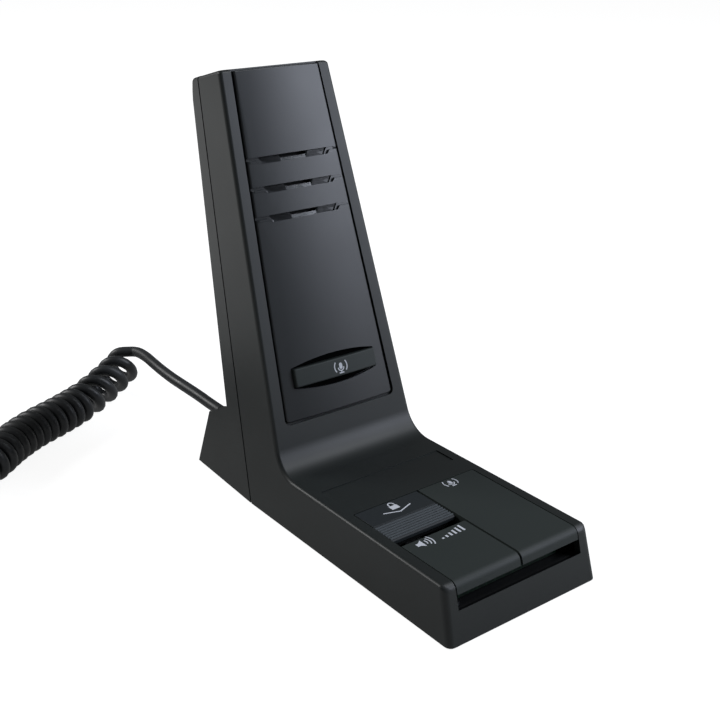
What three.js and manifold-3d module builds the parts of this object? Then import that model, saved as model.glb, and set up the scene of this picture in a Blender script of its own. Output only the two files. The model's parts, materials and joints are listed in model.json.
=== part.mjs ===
// Desk microphone: a low key base, a leaning microphone tower, and a curly cord that ends in a modular plug.
// Millimetres, +Z up, the keys point towards -Y. The origin is on the table, under the middle of the case.
// The case is worked out with its front bottom edge at y = 0 and its bottom edge at z = 0; the last group
// moves it to the origin and lifts it onto its rubber feet.

import * as THREE from 'three';
import { mergeVertices } from 'three/addons/utils/BufferGeometryUtils.js';
import Module from 'manifold-3d';

const wasm = await Module();
wasm.setup();

const degrees = Math.PI / 180;
const quarterTurn = Math.PI / 2;
const fullTurn = 2 * Math.PI;

// Driving sizes of the case
const baseWidth = 76;
const baseTop = 22;
const footEndY = 174.6;
const footToTower = 67.8;
const towerStartY = footEndY - footToTower;
const towerLength = 163.5;
const towerLean = 18.9 * degrees;
const topTiltShare = 0.053;
const frontLeanShare = 0.275;
const sideLeanShare = 0.057;
const sideTaperShare = 0.0065;
const rearTaperShare = 0.0547;
const footToSeam = 47.5;
const seamStartY = footEndY - footToSeam;
const seamLeanShare = 0.284;
const seamGap = 0.4;
const footToRear = 32.3;
const rearStartY = footEndY - footToRear;
const rearLeanShare = 0.246;
const footHeight = 28;
const footTopHeight = 36.4;
const footTopRunY = 15.2;
const footBackLeanShare = 0.343;
const wall = 2.6;
const blendRadius = 14;
const sideEdgeRadius = 1.6;
const frontEdgeRadius = 2.6;
const topEdgeRadius = 1.6;
const rearEdgeRadius = 2.4;
const innerEdgeRadius = 0.6;
const seat = 0.3;
const tableGap = 0.05;
const over = 6;

// Driving sizes of the key well and what moves in it
const wellSide = 6.6;
const wellHalf = baseWidth / 2 - wellSide;
const wellRearY = 64.1;
const sillHeight = 12;
const keySplitX = 0.9;
const keySplitGap = 0.7;
const keySideGap = 0.35;
const keyPlate = 2;
const keyNoseRadius = 3.4;
const keyNoseBottom = 17.5;
const monitorRearY = 36.2;
const sliderFrontY = 40.9;
const sliderTravel = 3.5;
const plateRecessDepth = 0.4;
const plateRecessSide = 0.7;
const plateRecessHalf = wellHalf - plateRecessSide;
const plateRecessWidthY = 10.6;
const plateRecessToTower = 21.2;
const plateRecessRearY = towerStartY - plateRecessToTower;
const plateRecessFrontY = plateRecessRearY - plateRecessWidthY;

// Driving sizes of the tower's front panel
const panelSide = 16.4;
const panelTopHalf = baseWidth / 2 - panelSide;
const panelTopDrop = 0.9;
const panelTopEnd = towerLength - panelTopDrop;
const panelFlareShare = 0.0495;
const panelBottomAt = 18.4;
const panelGap = 0.9;
const panelProud = 1;
const panelRim = 1.2;
const panelCore = 2.4;
const panelEdge = 0.7;
const panelCorner = 2.4;
const pocketDepth = 1.5;
const pocketLedge = 2.2;
const pocketTopBand = 7;

// Driving sizes of the cord
const cordDiameter = 4.4;
const curlRadius = 7.3;

// Steps along round edges
const edgeSteps = 4;
const noseSteps = 6;
const blendSteps = 9;
const roundSteps = 18;
const smallRoundSteps = 12;
const halfStep = 0.5;

// Materials, one function for all
const paint = (color, roughness, metalness = 0) =>
  new THREE.MeshStandardMaterial({ color, roughness, metalness });
const casePlastic = paint(0x34373a, 0.55);
const panelPlastic = paint(0x3a3e43, 0.5);
const keyPlastic = paint(0x303437, 0.55);
const innerPlastic = paint(0x24272a, 0.6);
const boardResin = paint(0x1f5a3a, 0.45);
const switchPlastic = paint(0x18191b, 0.4);
const stemPlastic = paint(0xd9d6cc, 0.4);
const blackRubber = paint(0x1b1c1e, 0.8);
const cordRubber = paint(0x2b2e30, 0.6);
const steel = paint(0x9aa0a6, 0.35, 0.9);
const springSteel = paint(0xb9bec4, 0.3, 1);
const aluminium = paint(0xc4c7ca, 0.35, 0.9);
const blackCloth = paint(0x111214, 0.95);
const clearPlastic = paint(0xdfe6ea, 0.2);
const gold = paint(0xd8b45a, 0.3, 1);
const connectorPlastic = paint(0xe8e4d8, 0.5);

// Closed meshes as solids that can be joined and cut
function toManifold(geometry) {
  const bare = geometry.clone();
  bare.deleteAttribute('normal');
  bare.deleteAttribute('uv');
  const merged = mergeVertices(bare);
  return new wasm.Manifold(new wasm.Mesh({
    numProp: 3,
    vertProperties: new Float32Array(merged.attributes.position.array),
    triVerts: new Uint32Array(merged.index.array),
  }));
}

function toGeometry(manifold) {
  const mesh = manifold.getMesh();
  const geometry = new THREE.BufferGeometry();
  geometry.setAttribute('position', new THREE.BufferAttribute(new Float32Array(mesh.vertProperties), 3));
  geometry.setIndex(new THREE.BufferAttribute(new Uint32Array(mesh.triVerts), 1));
  return geometry;
}

const join = (...parts) => toGeometry(parts.map(toManifold).reduce((sum, part) => sum.add(part)));
const common = (...parts) => toGeometry(parts.map(toManifold).reduce((sum, part) => sum.intersect(part)));
const cut = (body, ...tools) =>
  toGeometry(tools.map(toManifold).reduce((rest, tool) => rest.subtract(tool), toManifold(body)));

// A closed mesh through rings of points; each ring is flat and convex
function loft(rings) {
  const count = rings[0].length;
  const points = rings.flat().flatMap((point) => point.toArray());
  const faces = [];
  for (let ring = 0; ring + 1 < rings.length; ring++) {
    for (let side = 0; side < count; side++) {
      const next = (side + 1) % count;
      const a = ring * count + side;
      const b = ring * count + next;
      faces.push(a, b, b + count, a, b + count, a + count);
    }
  }
  const last = (rings.length - 1) * count;
  for (let side = 1; side + 1 < count; side++) {
    faces.push(0, side + 1, side, last, last + side, last + side + 1);
  }
  const geometry = new THREE.BufferGeometry();
  geometry.setAttribute('position', new THREE.Float32BufferAttribute(points, 3));
  geometry.setIndex(faces);
  return facingOut(geometry);
}

// Turns every face round where the mesh encloses a negative volume
function facingOut(geometry) {
  const place = geometry.attributes.position;
  const index = geometry.index.array;
  const corner = [new THREE.Vector3(), new THREE.Vector3(), new THREE.Vector3()];
  let volume = 0;
  for (let face = 0; face < index.length; face += 3) {
    corner.forEach((point, at) => point.fromBufferAttribute(place, index[face + at]));
    volume += corner[0].dot(corner[1].clone().cross(corner[2]));
  }
  if (volume < 0) {
    for (let face = 0; face < index.length; face += 3) {
      [index[face], index[face + 1]] = [index[face + 1], index[face]];
    }
  }
  return geometry;
}

// Plain blocks, and outlines pulled along an axis
function block(lowX, highX, lowY, highY, lowZ, highZ) {
  const geometry = new THREE.BoxGeometry(highX - lowX, highY - lowY, highZ - lowZ);
  return geometry.translate((lowX + highX) / 2, (lowY + highY) / 2, (lowZ + highZ) / 2);
}

function plan(points, lowZ, highZ) {
  const shape = new THREE.Shape(points.map(([x, y]) => new THREE.Vector2(x, y)));
  const geometry = new THREE.ExtrudeGeometry(shape, { depth: highZ - lowZ, bevelEnabled: false });
  return geometry.translate(0, 0, lowZ);
}

// The outline's two numbers become y and z, and it is pulled along x
const profileTurn = new THREE.Matrix4().makeBasis(
  new THREE.Vector3(0, 1, 0), new THREE.Vector3(0, 0, 1), new THREE.Vector3(1, 0, 0));
const profile = (points, lowX, highX) => plan(points, lowX, highX).applyMatrix4(profileTurn);

// A profile whose two sides follow a width that depends on y and z
function sidedProfile(points, halfWidthAt) {
  const geometry = profile(points, -baseWidth, baseWidth);
  const place = geometry.attributes.position;
  for (let at = 0; at < place.count; at++) {
    place.setX(at, Math.sign(place.getX(at)) * halfWidthAt(place.getY(at), place.getZ(at)));
  }
  return geometry;
}

// Round bars and discs along each axis
function discZ(radius, x, y, lowZ, highZ, sides = roundSteps) {
  const geometry = new THREE.CylinderGeometry(radius, radius, highZ - lowZ, sides);
  return geometry.rotateX(quarterTurn).translate(x, y, (lowZ + highZ) / 2);
}

function discX(radius, y, z, lowX, highX, sides = roundSteps) {
  const geometry = new THREE.CylinderGeometry(radius, radius, highX - lowX, sides);
  return geometry.rotateZ(quarterTurn).translate((lowX + highX) / 2, y, z);
}

function discY(radius, x, z, lowY, highY, sides = roundSteps) {
  const geometry = new THREE.CylinderGeometry(radius, radius, highY - lowY, sides);
  return geometry.translate(x, (lowY + highY) / 2, z);
}

// An outline with its corners rounded; each corner is [a, b, radius]
function rounded(corners, steps = edgeSteps) {
  const points = [];
  corners.forEach(([a, b, radius], at) => {
    const here = new THREE.Vector2(a, b);
    const before = new THREE.Vector2(...corners.at(at - 1)).sub(here).normalize();
    const after = new THREE.Vector2(...corners[(at + 1) % corners.length]).sub(here).normalize();
    if (!radius) {
      points.push([a, b]);
      return;
    }
    const half = Math.acos(THREE.MathUtils.clamp(before.dot(after), -1, 1)) / 2;
    const middle = before.clone().add(after).normalize();
    const centre = here.clone().addScaledVector(middle, radius / Math.sin(half));
    const start = here.clone().addScaledVector(before, radius / Math.tan(half)).sub(centre);
    const end = here.clone().addScaledVector(after, radius / Math.tan(half)).sub(centre);
    const sweep = Math.atan2(start.cross(end), start.dot(end));
    for (let step = 0; step <= steps; step++) {
      const turned = start.clone().rotateAround(new THREE.Vector2(), sweep * step / steps);
      points.push([centre.x + turned.x, centre.y + turned.y]);
    }
  });
  return points;
}

// An outline whose edges move inwards, each by its own distance; the outline runs anticlockwise
function insetOutline(points, distances) {
  const edges = points.map(([a, b], at) => {
    const [c, d] = points[(at + 1) % points.length];
    const length = Math.hypot(c - a, d - b);
    const inward = [-(d - b) / length, (c - a) / length];
    return { a: a + inward[0] * distances[at], b: b + inward[1] * distances[at], c: c - a, d: d - b };
  });
  return edges.map((edge, at) => {
    const before = edges.at(at - 1);
    const bend = before.c * edge.d - before.d * edge.c;
    const along = ((edge.a - before.a) * edge.d - (edge.b - before.b) * edge.c) / bend;
    return [before.a + before.c * along, before.b + before.d * along];
  });
}

// Where the case's planes run
const towerSin = Math.sin(towerLean);
const towerCos = Math.cos(towerLean);
const frontLean = Math.atan(frontLeanShare);
const halfWidthAt = (y, z) => baseWidth / 2 - sideTaperShare * y - sideLeanShare * z;
const seamYAt = (z) => seamStartY + seamLeanShare * z;
const coverHalfWidthAt = (y, z) => halfWidthAt(seamYAt(z), z) - rearTaperShare * (y - seamYAt(z));
const towerY = (along, depth) => towerStartY + along * towerSin + depth * towerCos;
const towerZ = (along, depth) => baseTop + along * towerCos - depth * towerSin;

// How deep behind the tower's front plane a leaning plane y = start + share * z lies
const depthTo = (startY, leanShare, along) =>
  (startY + leanShare * baseTop - towerStartY + along * (leanShare * towerCos - towerSin))
  / (towerCos + leanShare * towerSin);

// The rear skin's depth, and where along the tower it meets the tilted top when both are moved inwards
const rearDepthAt = (along) => depthTo(rearStartY, rearLeanShare, along);
const rearDepthShare = (rearDepthAt(towerLength) - rearDepthAt(0)) / towerLength;
const rearTopAt = (below, drop) =>
  (towerLength - below + topTiltShare * (rearDepthAt(0) - drop)) / (1 - topTiltShare * rearDepthShare);

// The way from the top's front edge to its rear edge, as y and z
const topWay = [towerCos + topTiltShare * towerSin, topTiltShare * towerCos - towerSin];

// The tower's own frame: x across, y up the sloped front, z out of it
const towerMatrix = new THREE.Matrix4().makeRotationX(quarterTurn - towerLean)
  .setPosition(0, towerStartY, baseTop);
const inTower = (geometry) => geometry.clone().applyMatrix4(towerMatrix);

// One cross-section of a shell: flat across its skin, round at both corners, open and deep behind
const shellReach = towerLength / 2;
function shellRing(skinY, skinZ, [inwardY, inwardZ], sideInset, radius, widthAt) {
  const half = [[shellReach, 0]];
  for (let step = 0; step <= edgeSteps; step++) {
    const turn = quarterTurn * step / edgeSteps;
    half.push([radius * (1 - Math.sin(turn)), radius * (1 - Math.cos(turn))]);
  }
  const left = half.map(([depth, inset]) => {
    const y = skinY + inwardY * depth;
    const z = skinZ + inwardZ * depth;
    return new THREE.Vector3(-(widthAt(y, z) - sideInset - inset), y, z);
  });
  const right = left.map((point) => new THREE.Vector3(-point.x, point.y, point.z)).reverse();
  return [...left, ...right];
}

// The front housing's skin, moved inwards by an inset, from the nose over the blend to the tower top
function housingLoft(inset) {
  const sideRadius = inset ? innerEdgeRadius : sideEdgeRadius;
  const noseRadius = inset ? innerEdgeRadius : frontEdgeRadius;
  const crownRadius = inset ? innerEdgeRadius : topEdgeRadius;
  const rings = [];
  for (let step = 0; step <= edgeSteps; step++) {
    const turn = quarterTurn * step / edgeSteps;
    const drop = noseRadius * (1 - Math.sin(turn));
    const back = (inset + noseRadius * (1 - Math.cos(turn))) / Math.cos(frontLean);
    const z = baseTop - inset - drop;
    const y = frontLeanShare * z + back;
    rings.push(shellRing(y, z, [-Math.sin(frontLean), -Math.cos(frontLean)],
      inset + drop, sideRadius, halfWidthAt));
  }
  const bend = quarterTurn - towerLean;
  const centreY = towerStartY - blendRadius * Math.tan(bend / 2);
  const centreZ = baseTop + blendRadius;
  const reachRadius = blendRadius + inset;
  for (let step = 0; step <= blendSteps; step++) {
    const turn = bend * step / blendSteps;
    const y = centreY + reachRadius * Math.sin(turn);
    const z = centreZ - reachRadius * Math.cos(turn);
    rings.push(shellRing(y, z, [Math.sin(turn), -Math.cos(turn)], inset, sideRadius, halfWidthAt));
  }
  for (let step = 0; step <= edgeSteps; step++) {
    const turn = quarterTurn * step / edgeSteps;
    const drop = crownRadius * (1 - Math.cos(turn));
    const depth = inset + drop;
    const along = towerLength + topTiltShare * depth - inset - crownRadius * (1 - Math.sin(turn));
    rings.push(shellRing(towerY(along, depth), towerZ(along, depth), topWay,
      inset + drop, sideRadius, halfWidthAt));
  }
  return loft(rings);
}

// The front panel's outline in the tower's frame, moved inwards by an inset
const pocketHalfAt = (along) => panelTopHalf + panelFlareShare * (panelTopEnd - along);
function panelOutline(inset, topEnd) {
  const low = panelBottomAt + inset;
  const corner = Math.max(panelCorner - inset, innerEdgeRadius);
  return rounded([
    [-(pocketHalfAt(topEnd) - inset), topEnd, 0],
    [-(pocketHalfAt(low) - inset), low, corner],
    [pocketHalfAt(low) - inset, low, corner],
    [pocketHalfAt(topEnd) - inset, topEnd, 0],
  ]);
}

// Screw bosses of the case, and the screws' own sizes
const caseBossRadius = 3.2;
const bossSink = 0.6;
const pilotRadius = 1.5;
const screwRadius = 1.2;
const screwHeadRadius = 2.6;
const screwHeadHeight = 1.2;
const screwHoleRadius = screwRadius + seat;
const baseScrewSide = 10;
const baseScrewX = baseWidth / 2 - baseScrewSide;
const wellToScrew = 7.4;
const baseScrewY = wellRearY + wellToScrew;
const footScrewSide = 14;
const footScrewX = baseWidth / 2 - footScrewSide;
const footToScrew = 18.6;
const footScrewY = footEndY - footToScrew;
const coverBossRadius = 3.6;
const coverScrewDrop = 17.5;
const coverScrewAt = towerLength - coverScrewDrop;
const coverBossFront = 6;
const coverScrewLength = 9;
const coverFloor = 2.2;
const wellRadius = 2.9;
const wellWall = 1.3;
const coverScrewDepth = depthTo(seamStartY, seamLeanShare, coverScrewAt);
const coverScrewX = halfWidthAt(towerY(coverScrewAt, coverScrewDepth), towerZ(coverScrewAt, coverScrewDepth))
  - wall - coverBossRadius + bossSink;
const coverScrews = [-coverScrewX, coverScrewX].map((x) =>
  ({ along: coverScrewAt, depth: coverScrewDepth, x }));

// Bottom plate levels
const plateThickness = 2.4;
const plateScrewBore = screwHeadHeight + seat;
const overCase = towerLength + baseTop;

function frontHousing() {
  const outer = common(
    housingLoft(0),
    profile([
      [-over, 0],
      [seamStartY, 0],
      [seamYAt(overCase), overCase],
      [-over, overCase],
    ], -baseWidth, baseWidth));
  const baseBosses = [-baseScrewX, baseScrewX].map((x) =>
    discZ(caseBossRadius, x, baseScrewY, plateThickness + seat, baseTop - wall / 2));
  const towerBosses = coverScrews.map(({ along, depth, x }) =>
    inTower(discZ(coverBossRadius, x, along, -depth - over, -coverBossFront)));
  const seamSide = profile([
    [-over, -over],
    [seamStartY - seamLeanShare * over, -over],
    [seamYAt(overCase), overCase],
    [-over, overCase],
  ], -baseWidth, baseWidth);
  const bosses = common(join(...baseBosses, ...towerBosses), seamSide);
  const shell = join(cut(outer, housingLoft(wall)), common(bosses, outer));
  const keyWell = block(-wellHalf, wellHalf, -over, wellRearY, sillHeight, baseTop + over);
  const plateRecess = block(-plateRecessHalf, plateRecessHalf, plateRecessFrontY, plateRecessRearY,
    baseTop - plateRecessDepth, baseTop + over);
  const pocket = inTower(plan(panelOutline(0, towerLength + over), -pocketDepth, over));
  const window = inTower(plan(panelOutline(pocketLedge, panelTopEnd - pocketTopBand), -wall - seat, over));
  const pilots = [
    ...[-baseScrewX, baseScrewX].map((x) =>
      discZ(pilotRadius, x, baseScrewY, -over, baseTop - wall, smallRoundSteps)),
    ...coverScrews.map(({ along, depth, x }) =>
      inTower(discZ(pilotRadius, x, along, -depth - over, -coverBossFront - wall, smallRoundSteps))),
  ];
  return cut(shell, keyWell, plateRecess, pocket, window, ...pilots);
}

// The rear cover: the tower's back, and the foot block that the cord leaves
function coverLoft(inset) {
  const cornerRadius = inset ? innerEdgeRadius : rearEdgeRadius;
  const crownRadius = inset ? innerEdgeRadius : topEdgeRadius;
  const inward = topWay.map((part) => -part);
  const ring = (along, drop) => {
    const depth = rearDepthAt(along) - inset - drop;
    return shellRing(towerY(along, depth), towerZ(along, depth), inward,
      inset + drop, cornerRadius, coverHalfWidthAt);
  };
  const rings = [ring(-baseTop, 0)];
  for (let step = 0; step <= edgeSteps; step++) {
    const turn = quarterTurn * step / edgeSteps;
    const drop = crownRadius * (1 - Math.cos(turn));
    rings.push(ring(rearTopAt(inset + crownRadius * (1 - Math.sin(turn)), inset + drop), drop));
  }
  return loft(rings);
}

const footBackY = footEndY - footBackLeanShare * footHeight;
const footOutline = [
  [seamStartY, 0],
  [footEndY, 0],
  [footBackY, footHeight],
  [footBackY - footTopRunY, footTopHeight],
  [seamYAt(footTopHeight), footTopHeight],
];

// The cord's exit through the foot
const exitX = -12;
const exitHeight = 12;
const exitPocketRadius = 6.2;
const exitPocketDepth = 5.6;
const exitPocketY = footEndY - exitPocketDepth;
const exitBossRadius = 8.2;
const exitBossDepth = 2.6;
const exitBossY = exitPocketY - exitBossDepth;
const exitHoleRadius = 4.2;

function rearCover() {
  const behindSeam = (gap) => profile([
    [seamStartY + gap - seamLeanShare * over, -over],
    [footEndY + over, -over],
    [footEndY + over + seamLeanShare * towerLength, overCase],
    [seamYAt(overCase) + gap, overCase],
  ], -baseWidth, baseWidth);
  const aboveFloor = block(-baseWidth, baseWidth, 0, footEndY + over, 0, overCase);
  const foot = sidedProfile(footOutline, coverHalfWidthAt);
  const hollowFoot = sidedProfile(
    insetOutline(footOutline, [-over, wall, wall, wall, -over]),
    (y, z) => coverHalfWidthAt(y, z) - wall);
  const outer = join(common(coverLoft(0), aboveFloor), foot);
  const outerTrimmed = common(outer, behindSeam(seamGap));
  const shell = cut(outerTrimmed, coverLoft(wall), hollowFoot);
  const screwTubes = coverScrews.map(({ along, depth, x }) =>
    inTower(discZ(wellRadius + wellWall, x, along, -rearDepthAt(along) - over, -depth - seamGap / 2)));
  const footBosses = [-footScrewX, footScrewX].map((x) =>
    discZ(caseBossRadius, x, footScrewY, plateThickness + seat, footTopHeight));
  const exitBoss = discY(exitBossRadius, exitX, exitHeight, exitBossY, footEndY);
  const inside = common(join(...screwTubes, ...footBosses, exitBoss), outerTrimmed);
  const screwWells = coverScrews.flatMap(({ along, depth, x }) => [
    inTower(discZ(wellRadius, x, along, -rearDepthAt(along) - over, -depth - seamGap - coverFloor)),
    inTower(discZ(screwHoleRadius, x, along, -rearDepthAt(along) - over, -depth + over, smallRoundSteps)),
  ]);
  const pilots = [-footScrewX, footScrewX].map((x) =>
    discZ(pilotRadius, x, footScrewY, -over, footHeight / 2, smallRoundSteps));
  const exitPocket = discY(exitPocketRadius, exitX, exitHeight, exitPocketY, footEndY + over);
  const exitHole = discY(exitHoleRadius, exitX, exitHeight, exitBossY - over, footEndY + over);
  const flangeSeat = discY(exitPocketRadius, exitX, exitHeight, exitBossY - over, exitBossY);
  return cut(join(shell, inside), ...screwWells, ...pilots, exitPocket, exitHole, flangeSeat);
}

// Bottom plate with its posts, saddle, foot recesses and screw seats
const rubberFootRadius = 5;
const rubberFootRecess = 1.3;
const rubberFootStand = 0.8;
const frontFootSide = 11;
const frontFootY = 14;
const rearFootSide = 14.5;
const footToRubber = 34.6;
const frontFootX = baseWidth / 2 - frontFootSide;
const rearFootX = baseWidth / 2 - rearFootSide;
const rearFootY = footEndY - footToRubber;
const rubberFeetPlaces = [
  [-frontFootX, frontFootY], [frontFootX, frontFootY], [-rearFootX, rearFootY], [rearFootX, rearFootY],
];
const postRadius = 2.6;
const postSide = 2.4;
const postX = wellHalf - postSide;
const postPlacesY = [9.5, 50];
const deckBottom = 8.5;
const deckThickness = 2;
const deckTop = deckBottom + deckThickness;
const saddleHalf = 8;
const footToSaddle = 30.6;
const saddleFrontY = footEndY - footToSaddle;
const saddleDepthY = 7;
const saddleSplit = 0.6;
const cordBoreRadius = cordDiameter / 2 + seat;
const strapHeight = 3.6;
const strapScrewX = 5.4;
const labelHalfX = 20;
const labelToTower = 3.2;
const labelWidthY = 26;
const labelRearY = towerStartY + labelToTower;
const labelFrontY = labelRearY - labelWidthY;
const labelDepth = 0.3;
const saddleRearY = saddleFrontY + saddleDepthY;
const saddleMiddleY = saddleFrontY + saddleDepthY / 2;
const strapScrewPlaces = [exitX - strapScrewX, exitX + strapScrewX];
const baseScrewPlaces = [
  [-baseScrewX, baseScrewY], [baseScrewX, baseScrewY], [-footScrewX, footScrewY], [footScrewX, footScrewY],
];

function bottomPlate() {
  const front = (wall + seat) / Math.cos(frontLean) + frontLeanShare * plateThickness;
  const rear = footEndY - (wall + seat) / Math.cos(Math.atan(footBackLeanShare))
    - footBackLeanShare * plateThickness;
  const half = (y) => (y < seamStartY ? halfWidthAt(y, plateThickness) : coverHalfWidthAt(y, plateThickness))
    - wall - seat;
  const edge = [front, seamStartY, rear];
  const outline = [
    ...edge.map((y) => [half(y), y]),
    ...edge.toReversed().map((y) => [-half(y), y]),
  ];
  const posts = postPlacesY.flatMap((y) => [-postX, postX].map((x) =>
    discZ(postRadius, x, y, plateThickness / 2, deckBottom - seat)));
  const saddle = block(exitX - saddleHalf, exitX + saddleHalf, saddleFrontY, saddleRearY, plateThickness / 2,
    exitHeight - saddleSplit / 2);
  const solid = join(plan(outline, 0, plateThickness), ...posts, saddle);
  return cut(solid,
    ...rubberFeetPlaces.map(([x, y]) => discZ(rubberFootRadius + seat, x, y, -over, rubberFootRecess)),
    ...baseScrewPlaces.flatMap(([x, y]) => [
      discZ(screwHeadRadius + seat, x, y, -over, plateScrewBore),
      discZ(screwHoleRadius, x, y, -over, plateThickness + over, smallRoundSteps),
    ]),
    ...postPlacesY.flatMap((y) => [-postX, postX].map((x) =>
      discZ(screwHoleRadius, x, y, plateThickness, deckBottom + over, smallRoundSteps))),
    discY(cordBoreRadius, exitX, exitHeight, saddleFrontY - over, saddleRearY + over),
    ...strapScrewPlaces.map((x) =>
      discZ(screwHoleRadius, x, saddleMiddleY, plateThickness, exitHeight + over, smallRoundSteps)),
    block(-labelHalfX, labelHalfX, labelFrontY, labelRearY, -over, labelDepth));
}

const rubberFoot = ([x, y]) => discZ(rubberFootRadius, x, y, -rubberFootStand, rubberFootRecess - seat);

// A pan-head screw that points up or down along z, with a cross recess in its head
const screwSlotLength = 2.8;
const screwSlotWidth = 0.7;
const screwSlotDepth = 0.7;
function screw(x, y, headZ, tipZ) {
  const way = Math.sign(tipZ - headZ);
  const neckZ = headZ + way * screwHeadHeight;
  const span = (radius, from, to, sides) =>
    discZ(radius, x, y, Math.min(from, to), Math.max(from, to), sides);
  const body = join(span(screwHeadRadius, headZ, neckZ, roundSteps),
    span(screwRadius, headZ + way * screwHeadHeight / 2, tipZ, smallRoundSteps));
  const slotLow = Math.min(headZ - way * screwSlotDepth, headZ + way * screwSlotDepth);
  const slotHigh = Math.max(headZ - way * screwSlotDepth, headZ + way * screwSlotDepth);
  const longHalf = screwSlotLength / 2;
  const thinHalf = screwSlotWidth / 2;
  return cut(body,
    block(x - longHalf, x + longHalf, y - thinHalf, y + thinHalf, slotLow, slotHigh),
    block(x - thinHalf, x + thinHalf, y - longHalf, y + longHalf, slotLow, slotHigh));
}

const baseScrewTip = 11;
const baseScrew = ([x, y]) => screw(x, y, 0, baseScrewTip);
const frameScrewTip = 4.4;
const frameScrewPlaces = [[-postX, postPlacesY[0]], [postX, postPlacesY[1]]];
const frameScrew = ([x, y]) => screw(x, y, deckTop + seat + screwHeadHeight, frameScrewTip);
const coverScrew = ({ along, depth, x }) => {
  const headZ = -depth - seamGap - coverFloor - seat - screwHeadHeight;
  return screw(x, along, headZ, headZ + coverScrewLength);
};

// Ballast and the cord's strap
const ballastSide = 7.4;
const ballastHalfX = wellHalf - ballastSide;
const ballastFrontY = 12;
const ballastRearY = 62;
const ballastThickness = 3.2;
const ballastCorner = 3;
function ballastPlate() {
  return plan(rounded([
    [-ballastHalfX, ballastFrontY, ballastCorner],
    [ballastHalfX, ballastFrontY, ballastCorner],
    [ballastHalfX, ballastRearY, ballastCorner],
    [-ballastHalfX, ballastRearY, ballastCorner],
  ]), plateThickness + seat, plateThickness + seat + ballastThickness);
}

const strapBottom = exitHeight + saddleSplit / 2;
const strapTop = strapBottom + strapHeight;
function cordStrap() {
  return cut(
    block(exitX - saddleHalf, exitX + saddleHalf, saddleFrontY, saddleRearY, strapBottom, strapTop),
    discY(cordBoreRadius, exitX, exitHeight, saddleFrontY - over, saddleRearY + over),
    ...strapScrewPlaces.map((x) =>
      discZ(screwHoleRadius, x, saddleMiddleY, plateThickness, strapTop + over, smallRoundSteps)));
}

const strapScrewTip = 4.2;
const strapScrew = (x) => screw(x, saddleMiddleY, strapTop + seat + screwHeadHeight, strapScrewTip);

// Hinge places shared by the keys and their frame
const pivotHeight = 16;
const pinRadius = 1;
const hingeEyeRadius = 2.4;
const hingeReach = 11.2;
const earWidth = 2.5;
const pttPivotY = 59.4;
const monitorPivotY = 33;
const keyTop = baseTop;
const keyUnder = keyTop - keyPlate;
const pttLowX = keySplitX + keySplitGap / 2;
const pttHighX = wellHalf - keySideGap;
const monitorLowX = -wellHalf + keySideGap;
const monitorHighX = keySplitX - keySplitGap / 2;
const pttMiddleX = (pttLowX + pttHighX) / 2;
const monitorMiddleX = (monitorLowX + monitorHighX) / 2;
const pinHoleRadius = pinRadius + seat;

// Two upright ears with an eye each, either side of a middle
function ears(middleX, pivotY, outer, width, lowZ, highZ) {
  const eye = (lowX) => join(
    block(lowX, lowX + width, pivotY - hingeEyeRadius, pivotY + hingeEyeRadius, lowZ, highZ),
    discX(hingeEyeRadius, pivotY, pivotHeight, lowX, lowX + width));
  return join(eye(middleX - outer), eye(middleX + outer - width));
}

// Slider table on the key frame
const sliderCap = 2.3;
const tableTop = baseTop - sliderCap - seat;
const tablePlate = 2;
const tableInset = 2.3;
const tableLowX = monitorLowX + tableInset;
const tableHighX = monitorHighX - tableInset;
const tableFrontY = 42.2;
const tableRearY = 63;
const tableWall = 1.2;
const tableOverhang = 1.7;
const stemHalfX = 2;
const stemProng = 1.4;
const stemRearY = 57.4;
const leverHalfX = 1;
const leverDepthY = 1.8;
const leverX = (tableLowX + tableHighX) / 2;
const deckFrontY = 6;
const deckRearY = 66;
const deckHalf = wellHalf;
const stemFrontY = stemRearY - 2 * stemProng - 2 * seat - leverDepthY;

function keyFrame() {
  const deck = block(-deckHalf, deckHalf, deckFrontY, deckRearY, deckBottom, deckTop);
  const tableSlab = block(tableLowX, tableHighX, tableFrontY, tableRearY, tableTop - tablePlate, tableTop);
  const tableSide = (lowX) => block(lowX, lowX + tableWall, tableFrontY, tableRearY,
    deckTop - deckThickness / 2, tableTop - tablePlate / 2);
  const hinges = [
    ears(pttMiddleX, pttPivotY, hingeReach, earWidth, deckTop - deckThickness / 2, pivotHeight),
    ears(monitorMiddleX, monitorPivotY, hingeReach, earWidth, deckTop - deckThickness / 2, pivotHeight),
  ];
  const solid = join(deck, tableSlab, tableSide(tableLowX + tableOverhang),
    tableSide(tableHighX - tableOverhang - tableWall), ...hinges);
  return cut(solid,
    discX(pinHoleRadius, pttPivotY, pivotHeight, 0, baseWidth, smallRoundSteps),
    discX(pinHoleRadius, monitorPivotY, pivotHeight, -baseWidth, 0, smallRoundSteps),
    block(leverX - stemHalfX - 2 * seat, leverX + stemHalfX + 2 * seat,
      stemFrontY - sliderTravel - 2 * seat, stemRearY + 2 * seat,
      tableTop - tablePlate - seat, tableTop + over),
    ...postPlacesY.flatMap((y) => [-postX, postX].map((x) =>
      discZ(screwHoleRadius, x, y, 0, deckTop + seat, smallRoundSteps))));
}

// A key: top plate, rounded nose, side ribs, hinge lugs, the rib over its switch and an up-stop tab
const noseThickness = 2;
const keyRibWidth = 1.2;
const keyRibBottom = 18;
const keyRibStartY = 10;
const actuatorHalfX = 1.6;
const actuatorHalfY = 1.2;
const stopOut = 1.3;
const stopLength = 6;
const stopStartY = 18;
const stopHeight = 1.4;
const switchHeight = 3.5;
const stemLength = 3;
const boardThickness = 1.6;
const boardBottom = deckTop + seat;
const boardTop = boardBottom + boardThickness;
const switchBottom = boardTop + seat;
const switchTop = switchBottom + switchHeight;
const stemTop = 17.4;
const actuatorBottom = stemTop + seat;

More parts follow.
